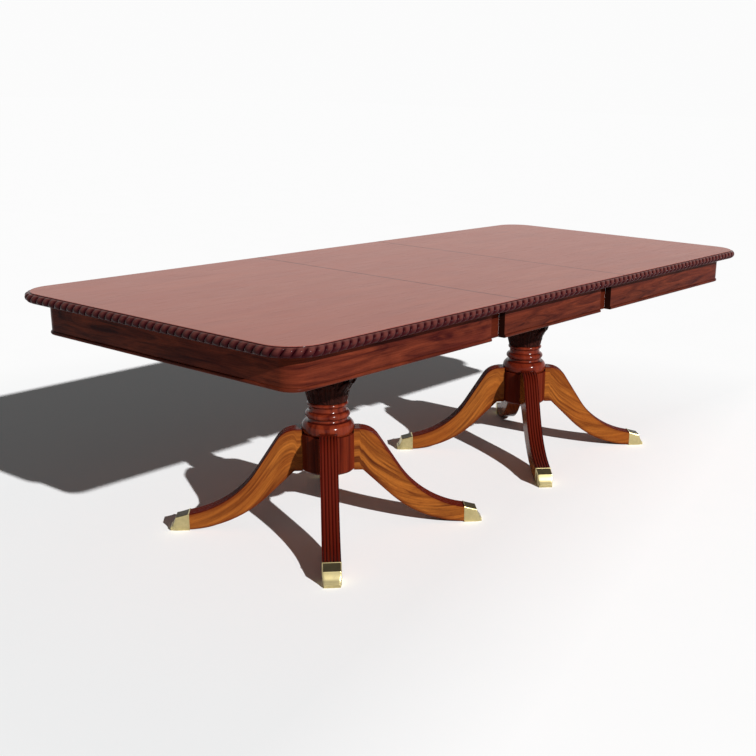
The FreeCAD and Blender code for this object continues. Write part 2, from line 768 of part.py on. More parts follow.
def leg(label, axis, yaw):
    """Sabre leg: plain sides, a reeded back, a coped and dovetailed root and a toe for the cap."""
    body = new_body(label, at=(axis, "0", "0"), yaw=yaw)
    side = new_sketch(body, "XZ_Plane", f"{label}_side")
    trace(side, [
        ("slot_inner", "drum_bottom"),
        ("knee_radius", "drum_bottom"),
        ("under_start_r", "under_start_z"),
        ("under_end_r", "toe_floor", "under_sweep"),
        ("toe_end", "toe_floor"),
        ("toe_end", "toe_height"),
        ("leg_end - reed_height * toe_sine", "toe_z - reed_height * toe_cosine"),
        ("sweep_r - reed_height * slope_sine", "sweep_z - reed_height * slope_cosine",
         "-(toe_sweep + reed_height)"),
        ("shoulder_r - reed_height * slope_sine", "shoulder_z - reed_height * slope_cosine"),
        ("crest_radius", "crest_height - reed_height", "shoulder_round - reed_height"),
        ("crest_radius", "crest_height"),
        ("slot_inner", "crest_height"),
    ])
    pad(body, side, "leg_width", symmetric=True)
    path = new_sketch(body, "XZ_Plane", f"{label}_crest")
    trace(path, [
        ("crest_radius", "crest_height"),
        ("shoulder_r", "shoulder_z", "-shoulder_round"),
        ("sweep_r", "sweep_z"),
        ("leg_end", "toe_z", "toe_sweep"),
    ], closed=False)
    reeds = new_sketch(body, "YZ_Plane", f"{label}_reeds", "crest_radius")
    groove = "crest_height - reed_height"
    scallops = [(f"reed_half - {step} * reed_pitch", groove, "reed_round")
                for step in range(1, int(size("reed_count")) + 1)]
    base = "crest_height - reed_height - reed_root"
    trace(reeds, [("-reed_half", base), ("reed_half", base), ("reed_half", groove)] + scallops)
    doc.recompute()
    run_along(body, reeds, path)
    cheeks = new_sketch(body, "XY_Plane", f"{label}_cheeks", "0")
    for sign in ("-", ""):
        rectangle(cheeks, ("leg_end", f"{sign}(toe_half_width)"),
                  ("toe_end + overrun", f"{sign}(leg_width / 2 + overrun)"))
    cut(body, cheeks, "cap_top + overrun")
    root = new_sketch(body, "XY_Plane", f"{label}_root", "drum_bottom - overrun")
    circle(root, ("0", "0"), "drum_radius + fit_clearance")
    cut(body, root, "drum_height + overrun + fit_clearance")
    cope = new_sketch(body, "XY_Plane", f"{label}_cope", "drum_top")
    circle(cope, ("0", "0"), "collar_radius + fit_clearance")
    cut(body, cope, "crest_height - drum_top + overrun")
    tongue = new_sketch(body, "XY_Plane", f"{label}_tongue", "drum_bottom")
    dovetail(tongue, "slot_inner + fit_clearance", "drum_radius + overrun", "0")
    pad(body, tongue, "slot_top - drum_bottom - fit_clearance")
    pilot = new_sketch(body, "XY_Plane", f"{label}_pilot", "drum_bottom")
    circle(pilot, ("spider_leg_screw", "0"), "spider_hole")
    cut(body, pilot, "spider_screw_length + screw_clearance")


def toe_cap(label, axis, yaw):
    """Cast brass toe cap: a box with a sloping brow, a hollowed nose and a socket open to the leg."""
    body = new_body(label, at=(axis, "0", "0"), yaw=yaw)
    side = new_sketch(body, "XZ_Plane", f"{label}_side")
    trace(side, [
        ("cap_back", "0"),
        ("cap_nose", "0"),
        ("cap_nose - cap_lip_setback", "cap_lip_height"),
        ("cap_brow", "cap_brow_height", "-cap_nose_round"),
        ("cap_back", "cap_top"),
    ])
    pad(body, side, "leg_width", symmetric=True)
    socket = new_sketch(body, "XZ_Plane", f"{label}_socket")
    trace(socket, [
        ("cap_back - overrun", "cap_wall"),
        ("cap_inner_end", "cap_wall"),
        ("cap_inner_end", "cap_inner_brow"),
        ("cap_back", "cap_inner_top"),
        ("cap_back - overrun", "cap_inner_top"),
    ])
    cut(body, socket, "leg_width - 2 * cap_wall", symmetric=True)
    taper = new_sketch(body, "XY_Plane", f"{label}_taper", "0")
    for sign in ("-", ""):
        trace(taper, [
            ("cap_brow", f"{sign}leg_width / 2"),
            ("cap_nose", f"{sign}(leg_width / 2 - cap_taper)"),
            ("cap_nose + overrun", f"{sign}(leg_width / 2 - cap_taper)"),
            ("cap_nose + overrun", f"{sign}leg_width / 2"),
        ])
    cut(body, taper, "cap_top")


def spider(tag, axis):
    """Steel cross under the drum, with one arm and two screw holes for each leg."""
    body = new_body(f"spider_plate_{tag}", at=(axis, "0", "0"), yaw=leg_yaws()[0])
    hub = new_sketch(body, "XY_Plane", f"spider_hub_{tag}", "spider_bottom")
    circle(hub, ("0", "0"), "spider_hub")
    pad(body, hub, "spider_thickness")
    arm = new_sketch(body, "XY_Plane", f"spider_arm_{tag}", "spider_bottom")
    rectangle(arm, ("0", "-spider_arm / 2"), ("spider_reach", "spider_arm / 2"))
    around_axis(body, pad(body, arm, "spider_thickness"))
    holes = new_sketch(body, "XY_Plane", f"spider_holes_{tag}", "spider_bottom")
    circle(holes, ("spider_leg_screw", "0"), "spider_hole")
    circle(holes, ("spider_drum_screw", "0"), "spider_hole")
    around_axis(body, cut(body, holes, "spider_thickness"))


def frame_screws(tag, side, screw_y):
    """Screws of one end: slides to the top, and bearer to the slides."""
    rail_spots = []
    bearer_spots = []
    for sign in ("-", ""):
        row = f"{sign}({screw_y})"
        for reach in ("rail_screw_inner", "rail_screw_outer"):
            rail_spots.append((f"{side} * (seam_x + {reach})", row))
        for step in ("-", "+"):
            bearer_spots.append((f"{side} * (pedestal_offset {step} bearer_screw_reach)", row))
    shank = ("screw_length", "screw_radius")
    head = ("screw_head_height", "screw_head_radius")
    rows = screw_row(f"rail_screws_{tag}", "top_underside - rail_grip", rail_spots, shank, head)
    rows += screw_row(f"bearer_screws_{tag}", "slide_bottom - bearer_grip", bearer_spots, shank, head)
    screw_group(f"frame_screws_{tag}", rows)


def spider_screws(tag, axis):
    """Screws up through the spider plate into the legs and the drum."""
    spots = []
    for yaw in leg_yaws():
        for reach in ("spider_leg_screw", "spider_drum_screw"):
            spots.append((f"{axis} + {reach} * cos({yaw})", f"{reach} * sin({yaw})"))
    shank = ("(spider_thickness + spider_screw_length)", "spider_screw_radius")
    head = ("spider_head_height", "spider_head_radius")
    screw_group(f"spider_screws_{tag}", screw_row(f"spider_row_{tag}", "spider_bottom", spots, shank, head))


def pedestal(tag, side, rail_y, screw_y):
    """One pedestal: bearer, capital, column, drum, spider plate, legs and toe caps."""
    axis = f"{side} * pedestal_offset"
    bearer(tag, axis, rail_y, screw_y)
    capital(tag, axis)
    column(tag, axis)
    drum(tag, axis)
    spider(tag, axis)
    spider_screws(tag, axis)
    for number, yaw in enumerate(leg_yaws(), start=1):
        leg(f"leg_{tag}_{number}", axis, yaw)
        toe_cap(f"toe_cap_{tag}_{number}", axis, yaw)


def table_end(tag, side, yaw, stop, rail_y, screw_y):
    """One end of the table: top, edge, apron, slides, screws and pedestal."""
    end_top(tag, yaw, screw_y)
    end_edge(tag, yaw)
    end_apron(tag, yaw, stop)
    end_bead(tag, yaw, stop)
    corner_blocks(tag, yaw)
    front_yaw = 180 if side < 0 else 0
    fixed_slide(f"slide_rail_{tag}_front", side, f"-({rail_y})", front_yaw)
    fixed_slide(f"slide_rail_{tag}_back", side, rail_y, 180 - front_yaw)
    frame_screws(tag, side, screw_y)
    pedestal(tag, side, rail_y, screw_y)


table_end("a", -1, 0, "seam_x + apron_gap", "outer_rail_y", "outer_screw_y")
joint_blocks("joint_blocks_a", "-seam_x", "top_underside")
table_end("b", 1, 180, "half_end", "inner_rail_y", "inner_screw_y")
leaf()
centre_slide("slide_centre_front", "-slide_spread")
centre_slide("slide_centre_back", "slide_spread")
doc.recompute()

for item in doc.Objects:
    if "Invalid" in item.State or "Error" in item.State:
        raise RuntimeError(f"{item.Label} failed: {item.State}")
for node in nodes:
    if node.Shape.isNull() or not node.Shape.isValid() or not node.Shape.Solids:
        raise RuntimeError(f"{node.Label} has no valid shape")

os.makedirs("parts", exist_ok=True)
for node in nodes:
    node.Shape.exportStep(f"parts/{node.Label}.step")
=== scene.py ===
import logging
import math
from dataclasses import dataclass
from enum import Enum
from typing import Sequence, Union

import bmesh
import bpy
import numpy as np
from mathutils import Matrix, Vector


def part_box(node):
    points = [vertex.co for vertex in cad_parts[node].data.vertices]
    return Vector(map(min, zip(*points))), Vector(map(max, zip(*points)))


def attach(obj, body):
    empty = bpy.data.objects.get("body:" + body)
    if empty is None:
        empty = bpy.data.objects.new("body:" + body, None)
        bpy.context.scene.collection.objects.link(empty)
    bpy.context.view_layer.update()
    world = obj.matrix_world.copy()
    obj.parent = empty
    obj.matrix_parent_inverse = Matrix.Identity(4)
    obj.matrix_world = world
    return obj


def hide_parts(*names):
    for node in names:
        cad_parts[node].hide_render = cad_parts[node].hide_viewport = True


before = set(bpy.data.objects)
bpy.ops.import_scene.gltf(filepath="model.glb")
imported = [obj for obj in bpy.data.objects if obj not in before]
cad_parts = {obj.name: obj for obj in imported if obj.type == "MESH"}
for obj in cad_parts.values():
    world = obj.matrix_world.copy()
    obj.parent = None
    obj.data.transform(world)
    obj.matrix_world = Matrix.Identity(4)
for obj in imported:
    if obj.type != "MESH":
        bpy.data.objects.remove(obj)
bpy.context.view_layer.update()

LOG = logging.getLogger("dining_table")

Colour = tuple[float, float, float]
Corner = tuple[float, ...]
Outline = tuple[Corner, ...]
Span = tuple[float, float]
Amount = Union[float, np.ndarray]
Socket = bpy.types.NodeSocket
Values = dict[Union[str, int], object]

MERGE = 2.0e-6
SLIVER = MERGE / 4.0
NEAR = 1.0e-5
TINY = 1.0e-9
LEAST_ARC_STEPS = 3
FULL: Span = (0.0, 1.0)
SEAM = 0.3048
# Point attribute holding dark glazing together with painted shade, painted highlights and painted reflection.
GLAZE_AND_PAINTED_LIGHT = "glaze"


class Grain(Enum):
    """Which way the grain of a piece runs."""

    LENGTH = "along the table"
    WIDTH = "across the table"
    UPRIGHT = "up the piece"
    LAID = "along the piece's own laid-out coordinates"


class Slot(Enum):
    """The record's material slot of a new piece."""

    EDGE = "carved_edge"
    APRON = "apron_wood"
    BLOCK = "block_wood"
    CARVED = "carved_wood"
    TURNED = "turned_wood"
    LEG = "leg_wood"
    BRASS = "brass"


class Way(Enum):
    """A side or an end of the table, by the sign of its outward way."""

    @property
    def tag(self) -> str:
        """The word for it in the names of pieces."""
        return self.name.lower()


class Side(Way):
    """The two long sides of the table."""

    FRONT = -1
    BACK = 1


class End(Way):
    """The two ends of the table."""

    A = -1
    B = 1

    @property
    def body(self) -> str:
        """The body that moves with this end."""
        return f"end_{self.tag}"


@dataclass
class Shell:
    """One closed skin: points, faces, laid-out places in metres and a share of dark glazing and painted light
    for each point.
    """

    points: np.ndarray
    quads: np.ndarray
    caps: list[np.ndarray]
    places: np.ndarray
    glaze: np.ndarray


def arc(first: np.ndarray, last: np.ndarray, bend: float, step: float) -> np.ndarray:
    """Points of a minor arc, after its first point and up to its last.

    The centre stands off the middle of the chord by the root of the bend squared less half the chord
    squared, to the left of the way for a positive bend and to the right for a negative one.

    Args:
        first: Start of the arc.
        last: End of the arc.
        bend: Radius, with the sign of the turn.
        step: Longest distance between two points.

    Returns:
        Points as rows.
    """
    chord = last - first
    length = float(np.hypot(chord[0], chord[1]))
    left = np.array([-chord[1], chord[0]]) / length
    rise = math.sqrt(max(bend * bend - length * length / 4.0, 0.0))
    middle = (first + last) / 2.0 + left * math.copysign(rise, bend)
    start = math.atan2(first[1] - middle[1], first[0] - middle[0])
    sweep = math.copysign(2.0 * math.asin(min(length / (2.0 * abs(bend)), 1.0)), bend)
    count = max(math.ceil(abs(sweep * bend) / step), LEAST_ARC_STEPS)
    turn = start + sweep * np.arange(1, count + 1) / count
    return middle + abs(bend) * np.stack([np.cos(turn), np.sin(turn)], axis=1)


def draw(corners: Sequence[Corner], step: float) -> np.ndarray:
    """A line through corners, where a third number bends the stretch that leads to its corner.

    Args:
        corners: Corners as (a, b) or (a, b, bend).
        step: Longest distance between two points of an arc.

    Returns:
        Points as rows.
    """
    pieces = [np.array([corners[0][:2]], dtype=float)]
    for before, after in zip(corners[:-1], corners[1:]):
        last = np.array(after[:2], dtype=float)
        if len(after) == 3:
            pieces.append(arc(np.array(before[:2], dtype=float), last, after[2], step))
        else:
            pieces.append(last[None, :])
    return np.concatenate(pieces)


def run_length(line: np.ndarray) -> np.ndarray:
    """Distance of each point of a line from the line's start."""
    steps = np.hypot(*np.diff(line, axis=0).T)
    return np.concatenate([[0.0], np.cumsum(steps)])


def spread(line: np.ndarray, shares: np.ndarray) -> np.ndarray:
    """Points of a line at given shares, from 0 to 1, of its length."""
    way = run_length(line)
    return np.stack([np.interp(shares * way[-1], way, line[:, axis]) for axis in range(2)], axis=1)


def smooth_step(value: np.ndarray, low: float, high: float) -> np.ndarray:
    """A soft rise from 0 at low to 1 at high."""
    share = np.clip((value - low) / (high - low), 0.0, 1.0)
    return share * share * (3.0 - 2.0 * share)


def band(value: np.ndarray, middle: Amount, width: float) -> np.ndarray:
    """A bell curve, 1 at the middle and fallen to about a third at the width."""
    return np.exp(-((value - middle) / width) ** 2)


def shell(points: np.ndarray, places: np.ndarray, glaze: np.ndarray, capped: bool = False) -> Shell:
    """A skin from a grid of points, turned so that its faces look outward.

    Each face joins four neighbours of the grid. With caps, the first and last row are closed rings
    and each gets one flat face. The skin is turned over where the volume it encloses comes out below
    zero.

    Args:
        points: Grid of points, rows by columns by 3.
        places: Laid-out places in metres, rows by columns by 2.
        glaze: Share of dark glazing and painted light at each point.
        capped: Close the first and the last row.

    Returns:
        The skin.
    """
    rows, columns = points.shape[:2]
    row, column = np.meshgrid(np.arange(rows - 1), np.arange(columns - 1), indexing="ij")
    corner = row * columns + column
    quads = np.stack([corner, corner + columns, corner + columns + 1, corner + 1], axis=-1).reshape(-1, 4)
    flat = points.reshape(-1, 3)
    caps = []
    thirds = [quads[:, [0, 1, 2]], quads[:, [0, 2, 3]]]
    if capped:
        ring = np.arange(columns - 1)
        caps = [ring, (rows - 1) * columns + ring[::-1]]
        thirds += [np.stack([np.full(len(cap) - 2, cap[0]), cap[1:-1], cap[2:]], axis=1) for cap in caps]
    faces = flat[np.concatenate(thirds)] - flat.mean(axis=0)
    volume = np.einsum("ij,ij->i", faces[:, 0], np.cross(faces[:, 1], faces[:, 2])).sum()
    if volume < 0.0:
        quads = quads[:, ::-1]
        caps = [cap[::-1] for cap in caps]
    return Shell(flat, quads, caps, places.reshape(-1, 2), glaze.reshape(-1))


def make_piece(name: str, shells: Sequence[Shell], crease: float = 38.0) -> bpy.types.Object:
    """One mesh object from closed skins, with places as its UV map and the share of dark glazing and painted
    light as an attribute.

    Args:
        name: Name of the piece.
        shells: Skins of the piece.
        crease: Angle in degrees above which an edge stays sharp.

    Returns:
        The object, linked to the scene at the origin.
    """
    starts = np.concatenate([[0], np.cumsum([len(skin.points) for skin in shells])[:-1]])
    faces = np.concatenate([skin.quads + start for skin, start in zip(shells, starts)]).tolist()
    faces += [(cap + start).tolist() for skin, start in zip(shells, starts) for cap in skin.caps]
    mesh = bpy.data.meshes.new(name)
    mesh.from_pydata(np.concatenate([skin.points for skin in shells]).tolist(), [], faces)
    corner = np.empty(len(mesh.loops), dtype=np.int64)
    mesh.loops.foreach_get("vertex_index", corner)
    places = np.concatenate([skin.places for skin in shells])
    mesh.uv_layers.new(name="UVMap").data.foreach_set("uv", places[corner].astype(np.float32).ravel())
    glaze = mesh.attributes.new(GLAZE_AND_PAINTED_LIGHT, "FLOAT", "POINT")
    glaze.data.foreach_set("value", np.concatenate([skin.glaze for skin in shells]).astype(np.float32))
    body = bmesh.new()
    body.from_mesh(mesh)
    bmesh.ops.remove_doubles(body, verts=body.verts, dist=MERGE)
    bmesh.ops.dissolve_degenerate(body, edges=body.edges, dist=SLIVER)
    body.to_mesh(mesh)
    body.free()
    mesh.polygons.foreach_set("use_smooth", np.ones(len(mesh.polygons), dtype=bool))
    mesh.set_sharp_from_angle(angle=math.radians(crease))
    mesh.update()
    piece = bpy.data.objects.new(name, mesh)
    bpy.context.scene.collection.objects.link(piece)
    return piece


def seat(piece: bpy.types.Object, material: bpy.types.Material, body: str, slot: Slot, *nodes: str) -> None:
    """Dresses a piece, lets it ride a body, and names the frame nodes it stands for.

    Args:
        piece: The finished piece.
        material: Its finish.
        body: Body it moves with.
        slot: Material slot of the record; not used.
        nodes: Frame nodes it replaces.
    """
    piece.data.materials.append(material)
    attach(piece, body)
    if nodes:
        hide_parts(*nodes)
    stands_for = ", ".join(nodes) or "nothing"
    LOG.info("%s: %d faces, stands for %s", piece.name, len(piece.data.polygons), stands_for)


def dress(node: str, material: bpy.types.Material) -> None:
    """Gives a frame node its finish.

    Args:
        node: Name of the frame node.
        material: Its finish.
    """
    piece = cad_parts[node]
    piece.data.materials.clear()
    piece.data.materials.append(material)
    LOG.info("%s: dressed with %s", node, material.name)


class Graph:
    """The nodes of a material or of the sky, under construction."""

    def __init__(self, owner: Union[bpy.types.Material, bpy.types.World]) -> None:
        """Starts with no nodes.

        Args:
            owner: Material or sky that the nodes belong to.
        """
        owner.use_nodes = True
        self.owner = owner
        self.tree = owner.node_tree
        self.tree.nodes.clear()

    def add(self, kind: str, values: Values, **settings: object) -> bpy.types.Node:
        """Adds a node.

        Args:
            kind: Node type.
            values: For each input a constant, or a socket to link from.
            settings: Settings of the node itself.

        Returns:
            The node.
        """
        node = self.tree.nodes.new(kind)
        for key, value in settings.items():
            setattr(node, key, value)
        for key, value in values.items():
            if isinstance(value, Socket):
                self.tree.links.new(value, node.inputs[key])
            else:
                node.inputs[key].default_value = value
        return node

    def place(self, kind: str) -> Socket:
        """Coordinates of the piece, by the name of the output."""
        return self.add("ShaderNodeTexCoord", {}).outputs[kind]

    def glaze(self) -> Socket:
        """Share of dark glazing and painted light that the piece carries at each point."""
        return self.add("ShaderNodeAttribute", {}, attribute_name=GLAZE_AND_PAINTED_LIGHT).outputs["Fac"]

    def noise(self, place: Socket, stretch: Colour, detail: float, warp: float = 0.0,
              fall: float = 0.55) -> Socket:
        """Noise drawn out by a stretch in each direction.

        Args:
            place: Coordinates.
            stretch: Waves to the metre in each direction.
            detail: Octaves.
            warp: How far the noise bends itself.
            fall: Strength of each octave against the one before it.

        Returns:
            Value from 0 to 1.
        """
        fitted = self.add("ShaderNodeMapping", {"Vector": place, "Scale": stretch}).outputs[0]
        values = {"Vector": fitted, "Scale": 1.0, "Detail": detail, "Roughness": fall, "Distortion": warp}
        return self.add("ShaderNodeTexNoise", values).outputs[0]

    def fit(self, value: Socket, span: Span, to: Span = FULL) -> Socket:
        """Carries one span of values to another, and holds what lies beyond it at its ends."""
        values = {"Value": value, "From Min": span[0], "From Max": span[1], "To Min": to[0], "To Max": to[1]}
        return self.add("ShaderNodeMapRange", values).outputs["Result"]

    def blend(self, share: Union[Socket, float], first: object, second: object, mode: str = "MIX") -> Socket:
        """Mixes two colours.

        Args:
            share: Share of the second colour.
            first: First colour or socket.
            second: Second colour or socket.
            mode: Blend mode.

        Returns:
            The mixed colour.
        """
        paired = [value if isinstance(value, Socket) else (*value, 1.0) for value in (first, second)]
        values = {0: share, 6: paired[0], 7: paired[1]}
        return self.add("ShaderNodeMix", values, data_type="RGBA", blend_type=mode).outputs[2]

    def sums(self, kind: str, first: object, second: object) -> Socket:
        """One arithmetic step on two values."""
        return self.add("ShaderNodeMath", {0: first, 1: second}, operation=kind).outputs[0]

    def measure(self, kind: str, place: Socket, other: Colour) -> Socket:
        """One measure between the coordinates and a fixed place or way."""
        return self.add("ShaderNodeVectorMath", {0: place, 1: other}, operation=kind).outputs["Value"]

    def bump(self, height: Socket, depth: float, strength: float) -> Socket:
        """A bumped normal from a height between 0 and 1 and the depth it stands for."""
        values = {"Height": height, "Distance": depth, "Strength": strength}
        return self.add("ShaderNodeBump", values).outputs[0]

    def close(self, values: Values) -> bpy.types.Material:
        """Ends a material with one surface shader.

        Args:
            values: Inputs of the shader.

        Returns:
            The material.
        """
        shader = self.add("ShaderNodeBsdfPrincipled", values)
        self.add("ShaderNodeOutputMaterial", {"Surface": shader.outputs[0]})
        return self.owner


@dataclass(frozen=True)
class WoodFinish:
    """Polished wood: ribbon figure, cloud, fine streaks, open pores, and dark glazing with painted shade,
    painted highlights and painted reflection where the piece carries it.

    Waves are counted to the metre, along the grain and across it. A span is the range of a noise that
    is drawn out to its full effect.
    """

    name: str
    light: Colour
    dark: Colour
    red: Colour
    grain: Grain
    ribbon: float = 34.0
    wave: float = 1.7
    warp: float = 0.9
    rough: float = 0.3
    ior: float = 1.08
    streaks: float = 0.16
    pores: float = 0.45
    glaze: Colour = (0.012, 0.004, 0.003)
    glaze_share: float = 0.9
    cloud_waves: Span = (2.3, 7.0)
    streak_waves: Span = (6.0, 480.0)
    pore_waves: Span = (70.0, 1900.0)
    ribbon_span: Span = (0.3, 0.7)
    cloud_span: Span = (0.35, 0.7)
    cloud_share: float = 0.6
    streak_span: Span = (0.3, 0.7)
    streak_height: float = 0.4
    pore_span: Span = (0.58, 0.68)
    gloss_span: Span = (0.25, 0.75)
    gloss_drop: float = 0.05
    gloss_rise: float = 0.07
    relief_deep: float = 0.00003
    relief_share: float = 0.15

    def stretch(self, along: float, across: float) -> Colour:
        """Waves to the metre along and across the grain, as a stretch in each direction."""
        turned = {Grain.WIDTH: (across, along, across), Grain.UPRIGHT: (across, across, along)}
        return turned.get(self.grain, (along, across, across))

    def mark(self, graph: Graph, place: Socket, colour: Socket) -> Socket:
        """Marks drawn on the wood; plain wood has none."""
        return colour

    def make(self) -> bpy.types.Material:
        """Makes the material of this finish.

        Returns:
            The material.
        """
        graph = Graph(bpy.data.materials.new(self.name))
        place = graph.place("UV" if self.grain is Grain.LAID else "Object")
        ribbon = graph.noise(place, self.stretch(self.wave, self.ribbon), detail=5.0, warp=self.warp)
        cloud = graph.noise(place, self.stretch(*self.cloud_waves), detail=3.0, warp=0.5)
        streak = graph.noise(place, self.stretch(*self.streak_waves), detail=3.0)
        pore = graph.noise(place, self.stretch(*self.pore_waves), detail=1.0)
        colour = graph.blend(graph.fit(ribbon, self.ribbon_span), self.dark, self.light)
        colour = graph.blend(graph.fit(cloud, self.cloud_span, (0.0, self.cloud_share)), colour, self.red)
        shade = graph.fit(streak, self.streak_span, (1.0 - self.streaks, 1.0 + self.streaks / 2.0))
        shades = graph.add("ShaderNodeCombineColor", {0: shade, 1: shade, 2: shade}).outputs[0]
        colour = graph.blend(1.0, colour, shades, "MULTIPLY")
        hollow = graph.fit(pore, self.pore_span, (0.0, self.pores))
        colour = self.mark(graph, place, graph.blend(hollow, colour, self.glaze))
        # Darkening from the piece's attribute: dark glazing, with painted shade and painted highlights in it.
        darkened = graph.sums("MULTIPLY", graph.glaze(), self.glaze_share)
        height = graph.sums("SUBTRACT", graph.sums("MULTIPLY", streak, self.streak_height), hollow)
        gloss = (self.rough - self.gloss_drop, self.rough + self.gloss_rise)
        return graph.close({
            "Base Color": graph.blend(darkened, colour, self.glaze),
            "Roughness": graph.fit(streak, self.gloss_span, gloss),
            "IOR": self.ior,
            "Normal": graph.bump(height, self.relief_deep, self.relief_share),
        })


@dataclass(frozen=True)
class TopFinish(WoodFinish):
    """Polished top, with dark polish caught in the arrises where two panels meet."""

    line: float = 0.0034
    line_core_share: float = 0.6
    line_dark: float = 0.85

    def mark(self, graph: Graph, place: Socket, colour: Socket) -> Socket:
        """A dark line beside each seam.

        Args:
            graph: Material under construction.
            place: Coordinates of the piece.
            colour: Colour of the wood.

        Returns:
            Colour with the lines.
        """
        across = graph.add("ShaderNodeSeparateXYZ", {0: place}).outputs[0]
        reach = graph.sums("ABSOLUTE", across, 0.0)
        off = graph.sums("ABSOLUTE", graph.sums("SUBTRACT", reach, SEAM), 0.0)
        dark = graph.fit(off, (self.line * self.line_core_share, self.line), (self.line_dark, 0.0))
        return graph.blend(dark, colour, self.glaze)


@dataclass(frozen=True)
class MetalFinish:
    """Polished metal, slightly clouded bright and dull, with fine scratches and a dull dark painted
    reflection where the piece carries it.
    """

    name: str
    bright: Colour
    dull: Colour
    rough: float
    dark_painted_reflection: Colour = (0.022, 0.018, 0.011)
    ior: float = 1.1
    cloud_waves: Colour = (38.0, 38.0, 38.0)
    scratch_waves: Colour = (140.0, 900.0, 2600.0)
    cloud_span: Span = (0.35, 0.7)
    gloss_span: Span = (0.3, 0.75)
    gloss_drop: float = 0.05
    gloss_rise: float = 0.14
    scratch_deep: float = 0.00002
    scratch_share: float = 0.12

    def make(self) -> bpy.types.Material:
        """Makes the material of this finish.

        Returns:
            The material.
        """
        graph = Graph(bpy.data.materials.new(self.name))
        place = graph.place("Object")
        cloud = graph.noise(place, self.cloud_waves, detail=4.0, warp=0.4)
        scratch = graph.noise(place, self.scratch_waves, detail=2.0, warp=0.2)
        colour = graph.blend(graph.fit(cloud, self.cloud_span), self.bright, self.dull)
        # The attribute paints a dull, non-metallic dark reflection.
        share = graph.glaze()
        gloss = (self.rough - self.gloss_drop, self.rough + self.gloss_rise)
        return graph.close({
            "Base Color": graph.blend(share, colour, self.dark_painted_reflection),
            "Metallic": graph.fit(share, FULL, (1.0, 0.0)),
            "IOR": self.ior,
            "Roughness": graph.fit(cloud, self.gloss_span, gloss),
            "Normal": graph.bump(scratch, self.scratch_deep, self.scratch_share),
        })


@dataclass(frozen=True)
class FloorFinish:
    """Pale plain floor, greyer with painted shade round the table than away from it and before its front."""

    name: str = "pale_floor"
    near: Colour = (0.868, 0.876, 0.879)
    far: Colour = (0.998, 0.998, 0.998)
    mottle: Colour = (0.985, 0.985, 0.985)
    mottle_waves: Colour = (3.0, 3.0, 3.0)
    centre: Colour = (-0.5, -0.2, 0.0)
    away_span: Span = (1.3, 2.8)
    front_way: Colour = (0.243, -0.97, 0.0)
    front_span: Span = (0.36, 0.86)
    rough: float = 0.9

    def make(self) -> bpy.types.Material:
        """Makes the material of this finish.

        Returns:
            The material.
        """
        graph = Graph(bpy.data.materials.new(self.name))
        place = graph.place("Object")
        # Painted shade: greyer round the table, lighter away from it and before its front.
        away = graph.fit(graph.measure("DISTANCE", place, self.centre), self.away_span)
        front = graph.fit(graph.measure("DOT_PRODUCT", place, self.front_way), self.front_span)
        colour = graph.blend(graph.sums("MAXIMUM", away, front), self.near, self.far)
        cloud = graph.noise(place, self.mottle_waves, detail=3.0)
        colour = graph.blend(cloud, colour, self.mottle, "MULTIPLY")
        return graph.close({"Base Color": colour, "Roughness": self.rough, "Specular IOR Level": 0.0})


